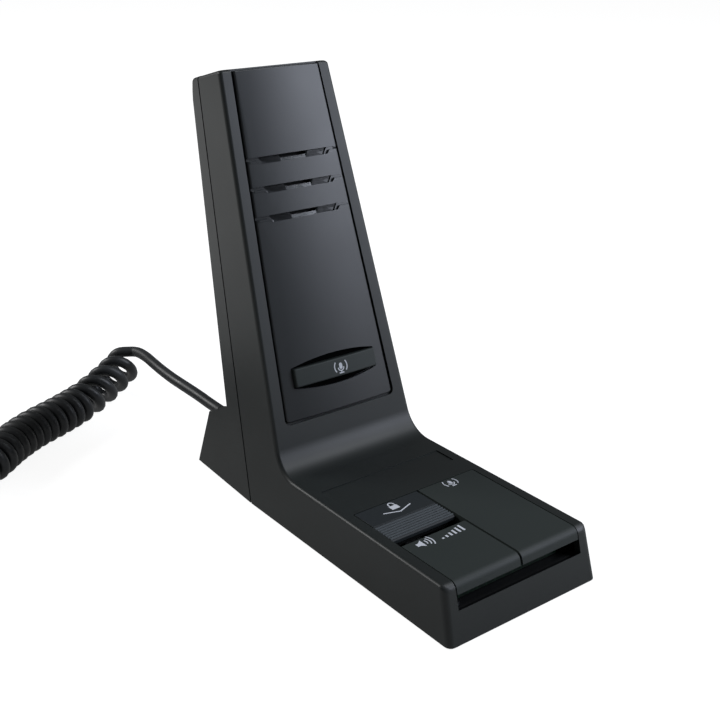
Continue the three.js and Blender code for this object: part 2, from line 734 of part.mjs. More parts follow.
function key(lowX, highX, rearY, pivotY, switchY, stopSide) {
  const middleX = (lowX + highX) / 2;
  const frontAt = (z) => frontLeanShare * z;
  const outline = rounded([
    [frontAt(keyTop), keyTop, keyNoseRadius],
    [frontAt(keyNoseBottom), keyNoseBottom, 0],
    [frontAt(keyNoseBottom) + noseThickness, keyNoseBottom, 0],
    [frontAt(keyUnder) + noseThickness, keyUnder, 0],
    [rearY, keyUnder, 0],
    [rearY, keyTop, 0],
  ], noseSteps);
  const plate = profile(outline, lowX, highX);
  const rib = (x) => block(x, x + keyRibWidth, keyRibStartY, pivotY, keyRibBottom, keyUnder + keyPlate / 2);
  const lugOuter = hingeReach - earWidth - 2 * seat;
  const lugs = ears(middleX, pivotY, lugOuter, earWidth, pivotHeight, keyUnder + keyPlate / 2);
  const actuator = block(middleX - actuatorHalfX, middleX + actuatorHalfX,
    switchY - actuatorHalfY, switchY + actuatorHalfY, actuatorBottom, keyUnder + keyPlate / 2);
  const stopEdge = stopSide > 0 ? highX : lowX;
  const stopRoot = stopEdge - stopSide * keyRibWidth;
  const stopTip = stopEdge + stopSide * (keySideGap + stopOut);
  const stop = block(Math.min(stopRoot, stopTip), Math.max(stopRoot, stopTip),
    stopStartY, stopStartY + stopLength,
    baseTop - wall - seat - stopHeight, baseTop - wall - seat);
  const solid = join(plate, rib(lowX), rib(highX - keyRibWidth), lugs, actuator, stop);
  return cut(solid, discX(pinHoleRadius, pivotY, pivotHeight, middleX - hingeReach, middleX + hingeReach,
    smallRoundSteps));
}

const pttSwitchY = 43.5;
const monitorSwitchY = 23.4;
const pttRearY = wellRearY - keySideGap;
const pttKey = () => key(pttLowX, pttHighX, pttRearY, pttPivotY, pttSwitchY, 1);
const monitorKey = () => key(monitorLowX, monitorHighX, monitorRearY, monitorPivotY, monitorSwitchY, -1);
const hingePin = (middleX, pivotY) => discX(pinRadius, pivotY, pivotHeight,
  middleX - hingeReach - seat, middleX + hingeReach + seat, smallRoundSteps);

// Key board, its switches, their stems and the connector
const boardSide = 6;
const boardHighX = wellHalf - boardSide;
const boardLowX = -boardHighX;
const boardFrontY = 10.5;
const boardStepY = 54;
const boardRearY = 60.5;
const switchHalf = 3;
const switchStemRadius = 1.5;
const switchBore = 2.9;
const lockSwitchHalfX = 4;
const lockSwitchHalfY = 6.4;
const lockSwitchHeight = 3;
const lockSwitchSlotHalfY = 5;
const lockSwitchSlotDepth = 2.1;
const connectorHalfX = 4;
const connectorHalfY = 2.6;
const connectorHeight = 4;
const lockSwitchY = stemRearY - stemProng - seat - leverDepthY / 2 - sliderTravel / 2;

function keyBoard() {
  const notchLowX = tableHighX - tableOverhang - tableWall - 2 * seat;
  const notchHighX = tableHighX + tableOverhang + tableWall;
  const notchY = tableFrontY - 2 * seat;
  const solid = plan([
    [boardLowX, boardFrontY], [boardHighX, boardFrontY], [boardHighX, boardStepY],
    [notchHighX, boardStepY], [notchHighX, notchY], [notchLowX, notchY],
    [notchLowX, boardRearY], [boardLowX, boardRearY],
  ], boardBottom, boardTop);
  const earSlot = (lowX) => block(lowX - 2 * seat, lowX + earWidth + 2 * seat,
    monitorPivotY - hingeEyeRadius - 2 * seat, monitorPivotY + hingeEyeRadius + 2 * seat,
    boardBottom - over, boardTop + over);
  return cut(solid,
    earSlot(monitorMiddleX - hingeReach),
    earSlot(monitorMiddleX + hingeReach - earWidth));
}

const pushSwitch = (x, y) => cut(
  block(x - switchHalf, x + switchHalf, y - switchHalf, y + switchHalf, switchBottom, switchTop),
  discZ(switchStemRadius + seat, x, y, switchTop - switchBore, switchTop + over, smallRoundSteps));
const switchStem = (x, y) => discZ(switchStemRadius, x, y, stemTop - stemLength, stemTop, smallRoundSteps);

const lockSwitch = () => cut(
  block(leverX - lockSwitchHalfX, leverX + lockSwitchHalfX, lockSwitchY - lockSwitchHalfY,
    lockSwitchY + lockSwitchHalfY, switchBottom, switchBottom + lockSwitchHeight),
  block(leverX - leverHalfX - seat, leverX + leverHalfX + seat, lockSwitchY - lockSwitchSlotHalfY,
    lockSwitchY + lockSwitchSlotHalfY, switchBottom + lockSwitchHeight - lockSwitchSlotDepth,
    switchBottom + lockSwitchHeight + over));
const leverRearY = stemRearY - stemProng - seat;
const leverRise = 2;
const lockLever = () => block(leverX - leverHalfX, leverX + leverHalfX, leverRearY - leverDepthY, leverRearY,
  switchBottom + lockSwitchHeight - lockSwitchSlotDepth + seat, switchBottom + lockSwitchHeight + leverRise);
const boardConnector = () => block(pttMiddleX - connectorHalfX, pttMiddleX + connectorHalfX,
  boardStepY - 2 * connectorHalfY - seat, boardStepY - seat, switchBottom, switchBottom + connectorHeight);

// The lock slider: a cap with a ribbed grip, two hooked legs and a forked stem
const gripCount = 7;
const gripPitch = 1.15;
const gripFrontY = 44;
const gripDepth = 0.45;
const gripLandShare = 0.5;
const lipDrop = 0.5;
const hookWidth = 1.1;
const hookBarb = 1;
const hookBarbHeight = 1.1;
const hookFrontY = 46;
const hookRearY = 60;

function lockSlider() {
  const capBottom = baseTop - sliderCap;
  const top = [];
  for (let rib = 0; rib < gripCount; rib++) {
    const start = gripFrontY + rib * gripPitch;
    const land = start + gripPitch * gripLandShare;
    top.push([start, baseTop - gripDepth], [start + seat / 2, baseTop], [land, baseTop],
      [land + seat / 2, baseTop - gripDepth]);
  }
  const gripRearY = gripFrontY + gripCount * gripPitch;
  const outline = [
    [sliderFrontY, capBottom], [sliderFrontY, baseTop - lipDrop - gripDepth],
    [sliderFrontY + lipDrop, baseTop - gripDepth], ...top,
    [gripRearY, baseTop - gripDepth], [gripRearY + seat / 2, baseTop],
    [wellRearY - keySideGap, baseTop], [wellRearY - keySideGap, capBottom],
  ];
  const hook = (side) => {
    const edge = side < 0 ? tableLowX - seat : tableHighX + seat;
    const span = (from, to, lowZ, highZ) =>
      block(Math.min(from, to), Math.max(from, to), hookFrontY, hookRearY, lowZ, highZ);
    const barbTop = tableTop - tablePlate - seat;
    return join(
      span(edge, edge + side * hookWidth, barbTop - hookBarbHeight, capBottom + sliderCap / 2),
      span(edge + side * hookWidth / 2, edge - side * hookBarb, barbTop - hookBarbHeight, barbTop));
  };
  const prong = (lowY) => block(leverX - stemHalfX, leverX + stemHalfX, lowY, lowY + stemProng,
    switchBottom + lockSwitchHeight + seat, capBottom + sliderCap / 2);
  return join(profile(outline, monitorLowX, monitorHighX), hook(-1), hook(1),
    prong(stemRearY - stemProng), prong(stemFrontY));
}

// One round wire that follows any path as rings, closed at both ends
function wireAlong(samples, radius, sides) {
  const rings = samples.map(({ point, across, along }) => {
    const side = across.clone().addScaledVector(along, -across.dot(along)).normalize();
    const other = along.clone().cross(side);
    return Array.from({ length: sides }, (_, at) => {
      const turn = fullTurn * at / sides;
      return point.clone().addScaledVector(side, radius * Math.cos(turn))
        .addScaledVector(other, radius * Math.sin(turn));
    });
  });
  return loft(rings);
}

// Least distance between the middles of turns that lie more than half a curl apart, less the wire
function leastGap(samples, radius, stepsPerTurn) {
  let least = Infinity;
  for (let from = 0; from < samples.length; from++) {
    for (let to = from + Math.ceil(stepsPerTurn / 2); to < samples.length; to++) {
      least = Math.min(least, samples[from].point.distanceTo(samples[to].point));
    }
  }
  return least - 2 * radius;
}

// Compression springs under the keys
const springRadius = 2.4;
const springWire = 0.5;
const springTurns = 5;
const springSteps = 8;
const springSides = 5;
const pttSpringY = 25;
const monitorSpringY = 15.2;

function spring(x, y) {
  const low = boardTop + seat + springWire / 2;
  const high = keyUnder - seat - springWire / 2;
  const total = springTurns * springSteps;
  const samples = [];
  for (let step = 0; step <= total; step++) {
    const turn = fullTurn * step / springSteps;
    const across = new THREE.Vector3(Math.cos(turn), Math.sin(turn), 0);
    const round = new THREE.Vector3(-Math.sin(turn), Math.cos(turn), 0);
    const rise = (high - low) / (fullTurn * springTurns);
    samples.push({
      point: across.clone().multiplyScalar(springRadius).add(new THREE.Vector3(x, y, low + rise * turn)),
      across,
      along: round.multiplyScalar(springRadius).setZ(rise).normalize(),
    });
  }
  const gap = leastGap(samples, springWire / 2, springSteps);
  console.log('least gap between spring turns, mm:', gap.toFixed(2));
  return wireAlong(samples, springWire / 2, springSides);
}

// Sound slots in the panel, from the top one down
const slotCount = 3;
const slotTopDrop = 35.9;
const slotPitch = 11.8;
const slotAt = Array.from({ length: slotCount }, (_, at) => towerLength - slotTopDrop - at * slotPitch);
const slotLineWidth = 0.45;
const slotLineDepth = 0.7;
const slotChamfer = 0.8;
const slotSide = 4.4;
const slotHalf = panelTopHalf - slotSide;
const slotDrop = 2.8;
const slotSlope = 2.2;
const slotRecess = 1.3;
const openingHalf = 7.2;
const openingDrop = 1.3;
const openingTaper = 0.9;
const lipDepth = 1.1;
const rimWidth = 0.8;
const rimHeight = 0.25;
const rimSlack = 0.1;

// The bar button and its barrel-shaped recess
const barMiddleAt = 36.8;
const barSide = 0.6;
const barHalf = panelTopHalf - barSide;
const barHeight = 7.8;
const barProud = 2.6;
const barGap = 0.4;
const barrelRise = 2.3;
const barrelDrop = 2.2;
const barrelDepth = 2;
const barrelSteps = 12;
const barEdge = 0.6;
const barCorner = 0.8;
const barFlange = 1;
const barFlangeReach = 1.1;
const barStemRadius = 2;
const barStemLength = 0.7;
const barTravel = 1.2;

// Tower board and what it carries, as depths behind the tower's front plane
const towerBoardFront = 10.8;
const towerBoardSide = 4.6;
const towerBoardHalf = panelTopHalf - towerBoardSide;
const towerBoardLow = 28;
const towerBoardDrop = 32.5;
const towerBoardHigh = towerLength - towerBoardDrop;
const towerPostSide = 3;
const towerPostX = towerBoardHalf - towerPostSide;
const towerPostTopDrop = 5;
const towerPostLow = 52;
const towerPosts = [[-towerPostX, towerBoardHigh - towerPostTopDrop], [towerPostX, towerPostLow]];
const towerPostRadius = 2.6;
const capsuleRadius = 4.85;
const capsuleLength = 5;
const capsuleAt = slotAt[1];
const bootWall = 1.2;
const bootFront = 3.5;
const clothHalf = 10.6;
const clothThickness = 0.4;
const clothRise = 3.4;
const clothDrop = 5;
const clothLow = slotAt.at(-1) - clothDrop;
const clothHigh = slotAt[0] + clothRise;
const clipDrop = 17.5;
const clipLow = 70;
const clipAt = [clipLow, towerLength - clipDrop];
const clipLength = 6;
const clipReach = 1;
const clipHeight = 1.2;

function slotCutters(at) {
  const surface = panelProud;
  const wide = pocketHalfAt(at) + over;
  const line = profile([
    [at - slotLineWidth - slotChamfer, surface],
    [at - slotLineWidth, surface - slotLineDepth],
    [at, surface - slotLineDepth],
    [at, surface + over],
    [at - slotLineWidth - slotChamfer, surface + over],
  ], -wide, wide);
  const recess = plan([
    [-slotHalf, at], [-slotHalf + slotSlope, at - slotDrop],
    [slotHalf - slotSlope, at - slotDrop], [slotHalf, at],
  ], surface - slotRecess, surface + over);
  const lip = profile([
    [at, surface - slotRecess - lipDepth],
    [at, surface],
    [at - slotDrop, surface],
    [at - slotDrop, surface - slotRecess],
    [at - openingDrop, surface - slotRecess - lipDepth],
  ], -openingHalf, openingHalf);
  const opening = plan([
    [-openingHalf + openingTaper, at - openingDrop], [openingHalf - openingTaper, at - openingDrop],
    [openingHalf, at], [-openingHalf, at],
  ], -panelCore - over, surface);
  return [line, recess, lip, opening];
}

// The raised rim along a slot's lower plate: level, down the slope, on both sides
function slotRims(at) {
  const low = at - slotDrop;
  const levelTop = at - slotLineWidth - slotChamfer;
  const levelLow = levelTop - rimWidth;
  const edge = pocketHalfAt(at) - panelGap - panelEdge - seat;
  return [-1, 1].map((side) => {
    const points = [
      [side * edge, levelTop], [side * edge, levelLow],
      [side * (slotHalf + rimWidth), levelLow], [side * (slotHalf - slotSlope + rimWidth), low],
      [side * (slotHalf - slotSlope + rimSlack), low], [side * (slotHalf - seat), levelTop],
    ];
    return plan(side > 0 ? points.toReversed() : points, panelProud - rimHeight, panelProud + rimHeight);
  });
}

const barLow = barMiddleAt - barHeight / 2;
const barHigh = barMiddleAt + barHeight / 2;

function barrelOutline() {
  const half = barHalf + barGap;
  const points = [];
  for (let step = 0; step <= barrelSteps; step++) {
    const x = half - 2 * half * step / barrelSteps;
    points.push([x, barHigh + barGap + barrelRise * (1 - (x / half) ** 2)]);
  }
  for (let step = 0; step <= barrelSteps; step++) {
    const x = -half + 2 * half * step / barrelSteps;
    points.push([x, barLow - barGap - barrelDrop * (1 - (x / half) ** 2)]);
  }
  return points;
}

function frontPanel() {
  const rings = [
    panelOutline(panelGap, panelTopEnd).map(([x, y]) => new THREE.Vector3(x, y, -panelRim)),
  ];
  for (let step = 0; step <= edgeSteps; step++) {
    const turn = quarterTurn * step / edgeSteps;
    const inset = panelEdge * (1 - Math.cos(turn));
    rings.push(panelOutline(panelGap + inset, panelTopEnd - inset).map(([x, y]) =>
      new THREE.Vector3(x, y, panelProud - panelEdge * (1 - Math.sin(turn)))));
  }
  const core = plan(panelOutline(pocketLedge + seat, panelTopEnd - pocketTopBand - seat), -panelCore, 0);
  const posts = towerPosts.map(([x, at]) =>
    discZ(towerPostRadius, x, at, -towerBoardFront + seat, -panelCore / 2, smallRoundSteps));
  const clips = clipAt.flatMap((at) => [-1, 1].map((side) => {
    const edge = pocketHalfAt(at + clipLength) - pocketLedge - seat;
    const inner = edge - 2 * clipReach;
    const outer = edge + clipReach + seat;
    const arm = block(Math.min(side * inner, side * edge), Math.max(side * inner, side * edge),
      at, at + clipLength, -wall - seat - clipHeight, -panelCore / 2);
    const barb = block(Math.min(side * inner, side * outer), Math.max(side * inner, side * outer),
      at, at + clipLength, -wall - seat - clipHeight, -wall - seat);
    return join(arm, barb);
  }));
  const solid = join(loft(rings), core, ...posts, ...clips);
  const barrel = plan(barrelOutline(), panelProud - barrelDepth, over);
  const barHole = block(-barHalf - barGap, barHalf + barGap, barLow - barGap, barHigh + barGap,
    -panelCore - over, over);
  const pilots = towerPosts.map(([x, at]) =>
    discZ(pilotRadius, x, at, -towerBoardFront - over, -panelCore, smallRoundSteps));
  const carved = cut(solid, ...slotAt.flatMap(slotCutters), barrel, barHole, ...pilots);
  return join(carved, ...slotAt.flatMap(slotRims));
}

function towerButton() {
  const face = [];
  for (let step = 0; step <= edgeSteps; step++) {
    const turn = quarterTurn * step / edgeSteps;
    face.push([barEdge * (1 - Math.cos(turn)), barProud - barEdge * (1 - Math.sin(turn))]);
  }
  const outline = (inset, z) => rounded([
    [-barHalf + inset, barLow + inset, barCorner],
    [barHalf - inset, barLow + inset, barCorner],
    [barHalf - inset, barHigh - inset, barCorner],
    [-barHalf + inset, barHigh - inset, barCorner],
  ]).map(([x, y]) => new THREE.Vector3(x, y, z));
  const flangeTop = -panelCore - seat;
  const flangeLow = flangeTop - barFlange;
  const body = loft([outline(0, flangeLow), ...face.map(([inset, z]) => outline(inset, z))]);
  const flange = block(-barHalf - barFlangeReach, barHalf + barFlangeReach, barLow - barFlangeReach,
    barHigh + barFlangeReach, flangeLow, flangeTop);
  const stem = discZ(barStemRadius, 0, barMiddleAt, flangeLow - barStemLength, flangeTop, smallRoundSteps);
  return join(body, flange, stem);
}

const barStemEnd = -panelCore - seat - barFlange - barStemLength;
const towerSwitchBack = -towerBoardFront + seat;
const towerSwitchFront = towerSwitchBack + switchHeight;
const towerStemTop = barStemEnd - seat;
const towerStemLow = towerSwitchBack + seat + barTravel + seat;
const towerSwitch = () => cut(
  block(-switchHalf, switchHalf, barMiddleAt - switchHalf, barMiddleAt + switchHalf,
    towerSwitchBack, towerSwitchFront),
  discZ(switchStemRadius + seat, 0, barMiddleAt, towerSwitchBack + seat, towerSwitchFront + over,
    smallRoundSteps));
const towerSwitchStem = () =>
  discZ(switchStemRadius, 0, barMiddleAt, towerStemLow, towerStemTop, smallRoundSteps);

function towerBoard() {
  return cut(
    block(-towerBoardHalf, towerBoardHalf, towerBoardLow, towerBoardHigh,
      -towerBoardFront - boardThickness, -towerBoardFront),
    ...towerPosts.map(([x, at]) =>
      discZ(screwHoleRadius, x, at, -towerBoardFront - over, over, smallRoundSteps)));
}

const towerScrewLength = 7;
const towerScrew = ([x, at]) => {
  const headZ = -towerBoardFront - boardThickness - seat - screwHeadHeight;
  return screw(x, at, headZ, headZ + towerScrewLength);
};

const bootRadius = capsuleRadius + seat + bootWall;
const capsuleFront = bootFront + seat;
const micBoot = () => cut(
  discZ(bootRadius, 0, capsuleAt, -towerBoardFront + seat, -bootFront),
  discZ(capsuleRadius + seat, 0, capsuleAt, -capsuleFront - capsuleLength - seat, over));
const micCapsule = () => discZ(capsuleRadius, 0, capsuleAt, -capsuleFront - capsuleLength, -capsuleFront);
const dustCloth = () => block(-clothHalf, clothHalf, clothLow, clothHigh,
  -panelCore - seat - clothThickness, -panelCore - seat);
const towerConnectorLow = 29;
const towerConnector = () => block(-connectorHalfX, connectorHalfX, towerConnectorLow,
  towerConnectorLow + connectorHalfY, -towerBoardFront + seat, -towerBoardFront + seat + connectorHeight / 2);

// Strain relief: a flange inside the foot, a collar in the pocket and a tapered, ringed tail
const reliefFlange = 2.4;
const reliefCollarRadius = 5.6;
const reliefNeckRadius = exitHoleRadius - seat;
const reliefCollar = 2.6;
const reliefTail = 19;
const reliefTailStart = 4.4;
const reliefTailEnd = 3.2;
const reliefRings = 5;
const reliefGroove = 0.5;
const reliefBore = cordDiameter / 2 + seat;
const reliefStartY = exitBossY - seat - reliefFlange;
const reliefCollarY = exitPocketY + seat;
const reliefTailY = reliefCollarY + reliefCollar;
const reliefEndY = reliefTailY + reliefTail;

function strainRelief() {
  const points = [
    [reliefBore, reliefStartY], [reliefCollarRadius, reliefStartY],
    [reliefCollarRadius, reliefStartY + reliefFlange], [reliefNeckRadius, reliefStartY + reliefFlange],
    [reliefNeckRadius, reliefCollarY], [reliefCollarRadius, reliefCollarY],
    [reliefCollarRadius, reliefTailY], [reliefTailStart, reliefTailY],
  ];
  for (let ring = 0; ring < reliefRings; ring++) {
    const place = (share) => (ring + share) / reliefRings;
    const radius = (share) => THREE.MathUtils.lerp(reliefTailStart, reliefTailEnd, place(share));
    const at = (share) => reliefTailY + reliefTail * place(share);
    const landShare = 0.6;
    points.push([radius(landShare), at(landShare)], [radius(landShare) - reliefGroove, at(landShare)]);
    points.push([radius(1) - reliefGroove, at(1)]);
    if (ring + 1 < reliefRings) {
      points.push([radius(1), at(1)]);
    }
  }
  points.push([reliefBore, reliefEndY], [reliefBore, reliefStartY]);
  const outline = points.map(([radius, along]) => new THREE.Vector2(radius, along));
  return facingOut(mergedOnly(new THREE.LatheGeometry(outline, smallRoundSteps)))
    .translate(exitX, 0, exitHeight);
}

// Position only, with shared corners
function mergedOnly(geometry) {
  geometry.deleteAttribute('normal');
  geometry.deleteAttribute('uv');
  return mergeVertices(geometry);
}

// A bent tube along points chosen by hand
const tubeSides = 8;
function tube(points, radius, steps) {
  const circle = new THREE.Shape(Array.from({ length: tubeSides }, (_, at) =>
    new THREE.Vector2(radius, 0).rotateAround(new THREE.Vector2(), fullTurn * at / tubeSides)));
  const path = new THREE.CatmullRomCurve3(points.map((point) => new THREE.Vector3(...point)));
  return new THREE.ExtrudeGeometry(circle, { steps, extrudePath: path, bevelEnabled: false });
}

// The jacketed cord inside the case, and the thin wires that go on from it to the two boards
const innerCordAhead = 2;
const innerCordStartY = saddleFrontY - innerCordAhead;
const innerCord = () =>
  discY(cordDiameter / 2, exitX, exitHeight, innerCordStartY, reliefEndY, smallRoundSteps);
const wireRadius = 0.9;
const wireHeight = 13.6;
const wireSpread = 1.6;
const wireStartY = boardStepY + seat;
const wireBendY = 66;
const wireMiddleY = (wireStartY + wireBendY) / 2;
const signalWireX = pttMiddleX + wireSpread;
const toCordY = (share) => THREE.MathUtils.lerp(wireBendY, innerCordStartY, share);
const signalWirePoints = [
  [signalWireX, wireStartY, wireHeight],
  [signalWireX, wireMiddleY, wireHeight],
  [signalWireX, wireBendY, wireHeight],
  [16, toCordY(0.158), 10],
  [9, toCordY(0.342), 8],
  [0, toCordY(0.553), 8],
  [-7, toCordY(0.737), 8.6],
  [-11.4, toCordY(0.882), 11.4],
  [exitX, toCordY(0.947), exitHeight],
  [exitX, innerCordStartY - seat, exitHeight],
];
const towerWireX = pttMiddleX - wireSpread;
const wireRiseY = towerStartY + seat;
const toRiseY = (share) => THREE.MathUtils.lerp(wireBendY, wireRiseY, share);
const towerWireDepth = towerBoardFront - seat - connectorHeight / 4;
const towerWireAt = [14, 23, towerConnectorLow - seat];
const behindPanel = (along) => [0, towerY(along, towerWireDepth), towerZ(along, towerWireDepth)];
const towerWirePoints = [
  [towerWireX, wireStartY, wireHeight],
  [towerWireX, wireMiddleY, wireHeight],
  [towerWireX, wireBendY, wireHeight],
  [12, toRiseY(0.34), 12.4],
  [8, toRiseY(0.73), 13],
  [4, toRiseY(1.02), 18.6],
  [1, toRiseY(1.21), 25.6],
  ...towerWireAt.map(behindPanel),
];
const signalWireSteps = 30;
const towerWireSteps = 34;
const signalWires = () => tube(signalWirePoints, wireRadius, signalWireSteps);
const towerWires = () => tube(towerWirePoints, wireRadius, towerWireSteps);

// The cord outside the case: a straight lead, a long run of curls that bends round on the table, and a tail
const coilHeight = cordDiameter / 2 + curlRadius - rubberFootStand + tableGap;
const coilRun = [
  [-17, 278], [-31.2, 265.6], [-45, 254.6], [-59, 245.2], [-74, 237.8], [-90, 231], [-104, 222.4],
  [-118, 211.6], [-132.2, 205], [-147.7, 203.7], [-162.8, 207.7], [-175.6, 216.7], [-184.6, 229.5],
  [-188.6, 244.6], [-187.3, 260.1],
];
const coilLoosePitch = 12.2;
const coilTightPitch = 5.6;
const coilBendPitch = 6.4;
const coilLooseLeanShare = 0.35;
const coilLooseEnd = 52;
const coilLooseFade = 10;
const coilBendStart = 122;
const coilBendFade = 14;
const curlSteps = 8;
const curlSides = 5;
const coilTableSteps = 600;

const looseAt = (run) =>
  1 - THREE.MathUtils.smoothstep(run, coilLooseEnd - coilLooseFade, coilLooseEnd + coilLooseFade);

function coilPitchAt(run) {
  const bend = THREE.MathUtils.smoothstep(run, coilBendStart - coilBendFade, coilBendStart + coilBendFade);
  return coilTightPitch + (coilLoosePitch - coilTightPitch) * looseAt(run)
    + (coilBendPitch - coilTightPitch) * bend;
}

// Curls wound about the run: each step knows its place, the way out of the axis and the way onwards.
// The loose curls lean, with their tops towards the end of the run.
function coilSamples() {
  const axis = new THREE.CatmullRomCurve3(coilRun.map(([x, y]) => new THREE.Vector3(x, y, coilHeight)));
  const length = axis.getLength();
  const turnsTo = [0];
  for (let step = 0; step < coilTableSteps; step++) {
    const run = length * (step + halfStep) / coilTableSteps;
    turnsTo.push(turnsTo[step] + length / coilTableSteps / coilPitchAt(run));
  }
  const curlCount = Math.floor(turnsTo.at(-1)) - halfStep;
  const place = (turns) => {
    const wanted = turns / curlCount * turnsTo.at(-1);
    const after = Math.min(Math.max(turnsTo.findIndex((reached) => reached >= wanted), 1), coilTableSteps);
    const share = (wanted - turnsTo[after - 1]) / (turnsTo[after] - turnsTo[after - 1]);
    const run = Math.min((after - 1 + share) / coilTableSteps, 1);
    const onward = axis.getTangentAt(run);
    const right = new THREE.Vector3(onward.y, -onward.x, 0).normalize();
    const turn = fullTurn * turns;
    const leanShare = coilLooseLeanShare * looseAt(length * run);
    const across = new THREE.Vector3(0, 0, Math.cos(turn)).addScaledVector(right, Math.sin(turn))
      .addScaledVector(onward, leanShare * Math.cos(turn));
    return { point: axis.getPointAt(run).addScaledVector(across, curlRadius), across };
  };
  const total = curlCount * curlSteps;
  const samples = Array.from({ length: total + 1 }, (_, step) => place(step / curlSteps));
  console.log('curls:', curlCount);
  return samples.map((sample, at) => {
    const before = samples[Math.max(at - 1, 0)].point;
    const after = samples[Math.min(at + 1, total)].point;
    return { ...sample, along: after.clone().sub(before).normalize() };
  });
}

const coilWay = coilSamples();
const coilFirst = coilWay[0];
const coilLast = coilWay.at(-1);
console.log('least gap between curls, mm:', leastGap(coilWay, cordDiameter / 2, curlSteps).toFixed(2));

// Flat ends: the first and last rings stand square to the way the cord runs on
function endWay([[fromX, fromY], [toX, toY]], side, pitch) {
  const onward = new THREE.Vector3(toX - fromX, toY - fromY, 0).normalize();
  return new THREE.Vector3(onward.y * side, -onward.x * side, 0).multiplyScalar(curlRadius)
    .addScaledVector(onward, pitch / fullTurn).normalize();
}
const leadArrives = endWay(coilRun, 1, coilLoosePitch);
const tailLeaves = endWay(coilRun.slice(-2), -1, coilBendPitch);

function cordCoil() {
  coilFirst.along = leadArrives;
  coilLast.along = tailLeaves;
  return wireAlong(coilWay, cordDiameter / 2, curlSides);
}

const atCoilStart = coilFirst.point.clone().addScaledVector(leadArrives, -seat);
const beforeCoil = coilFirst.point.clone().addScaledVector(leadArrives, -cordDiameter);
const leadPoints = [
  [exitX, reliefEndY + seat, exitHeight],
  [exitX, reliefEndY + cordDiameter, exitHeight],
  [-12.3, 201, 12.4],
  [-13, 210, 13.4],
  [-13.9, 220, 14.3],
  [-14.6, 232, 15],
  [-14.6, 243, 15.6],
  [-14, 253, 16],
  [-13.2, 262, 16.1],
  [-13.4, 270, 16],
  beforeCoil.toArray(),
  atCoilStart.toArray(),
];

const atCoilEnd = coilLast.point.clone().addScaledVector(tailLeaves, seat);
const afterCoil = coilLast.point.clone().addScaledVector(tailLeaves, cordDiameter);
const tailHeight = cordDiameter / 2 - rubberFootStand + tableGap;
const plugPlace = [-166, 318];
const plugHeading = 30 * degrees;
const plugHeight = 3.4;
const plugWay = new THREE.Vector3(Math.sin(plugHeading), Math.cos(plugHeading), 0);
const plugOrigin = new THREE.Vector3(...plugPlace, plugHeight - rubberFootStand);
const beforePlug = plugOrigin.clone().addScaledVector(plugWay, -cordDiameter);
const tailPoints = [
  atCoilEnd.toArray(),
  afterCoil.toArray(),
  [-199, 266, tailHeight],
  [-204, 273.5, tailHeight],
  [-204.6, 282, tailHeight],
  [-201, 290.4, tailHeight],
  [-194, 297, tailHeight],
  [-185.6, 301.4, tailHeight],
  [-178, 305.4, tailHeight + seat],
  [-172.6, 310, plugHeight - rubberFootStand - seat],
  beforePlug.toArray(),
  plugOrigin.toArray(),
];
const leadSteps = 10;
const tailSteps = 12;
const cordLead = () => tube(leadPoints, cordDiameter / 2, leadSteps);
const cordTail = () => tube(tailPoints, cordDiameter / 2, tailSteps);

// The plug in its own frame: y runs on from the cord, z is up and the table is footed at plugFloor
const plugFloor = -plugHeight;
const bootLength = 10;
const bootStartRadius = 3.1;
const bootEndRadius = 3.2;
const bootBlockHalfX = 4.6;
const bootBlockLength = 4;
const bootBlockLow = -3;
const bootBlockHigh = 3;
const plugHalf = 5.85;
const plugLength = 21.5;
const plugBodyHeight = 6.6;
const plugBottom = plugFloor + tableGap;
const plugTop = plugBottom + plugBodyHeight;
const plugStart = seat + bootLength + seat;
const plugEnd = plugStart + plugLength;
const contactCount = 8;
const contactPitch = 1.02;
const contactSlot = 0.66;
const contactWidth = 0.3;
const contactLength = 5;
const contactDepth = 3;
const contactInset = 0.4;
const carrierLength = 1;
const latchThickness = 1;
const latchRise = 2.6;
const latchLength = 16;
const latchWideHalf = 3.1;
const latchThinHalf = 1.7;
const latchStepAt = 8;

function plugBoot() {
  const sleeve = new THREE.CylinderGeometry(bootEndRadius, bootStartRadius, bootLength, smallRoundSteps);
  sleeve.translate(0, seat + bootLength / 2, 0);
  return join(sleeve, block(-bootBlockHalfX, bootBlockHalfX,
    plugStart - seat - bootBlockLength, plugStart - seat, bootBlockLow, bootBlockHigh));
}

const contactMiddles = Array.from({ length: contactCount }, (_, at) =>
  (at - (contactCount - 1) / 2) * contactPitch);
const carrierHalf = contactMiddles.at(-1) + contactWidth / 2;
const plugBody = () => cut(
  block(-plugHalf, plugHalf, plugStart, plugEnd, plugBottom, plugTop),
  ...contactMiddles.map((x) => block(x - contactSlot / 2, x + contactSlot / 2,
    plugEnd - contactLength - contactInset, plugEnd + over, plugBottom - over, plugBottom + contactDepth)),
  block(-carrierHalf - seat, carrierHalf + seat, plugEnd - contactLength - seat,
    plugEnd - contactLength + carrierLength + seat, plugBottom - over, plugBottom + contactDepth));
const plugContacts = () => join(
  ...contactMiddles.map((x) => block(x - contactWidth / 2, x + contactWidth / 2,
    plugEnd - contactLength, plugEnd - contactInset,
    plugBottom + contactInset, plugBottom + contactDepth - seat)),
  block(-carrierHalf, carrierHalf, plugEnd - contactLength, plugEnd - contactLength + carrierLength,
    plugBottom + contactInset, plugBottom + contactDepth - seat));
function plugLatch() {
  const nose = plugEnd - seat;
  const low = plugTop + seat;
  const at = (run) => low + latchRise * run / latchLength;
  const bar = (from, to, half) => profile([
    [nose - from, at(from)], [nose - from, at(from) + latchThickness],
    [nose - to, at(to) + latchThickness], [nose - to, at(to)],
  ], -half, half);
  return join(bar(0, latchStepAt, latchWideHalf), bar(latchStepAt / 2, latchLength, latchThinHalf));
}

// The whole, in named groups
function piece(name, geometry, material) {
  const mesh = new THREE.Mesh(geometry, material);
  mesh.name = name;
  return mesh;
}

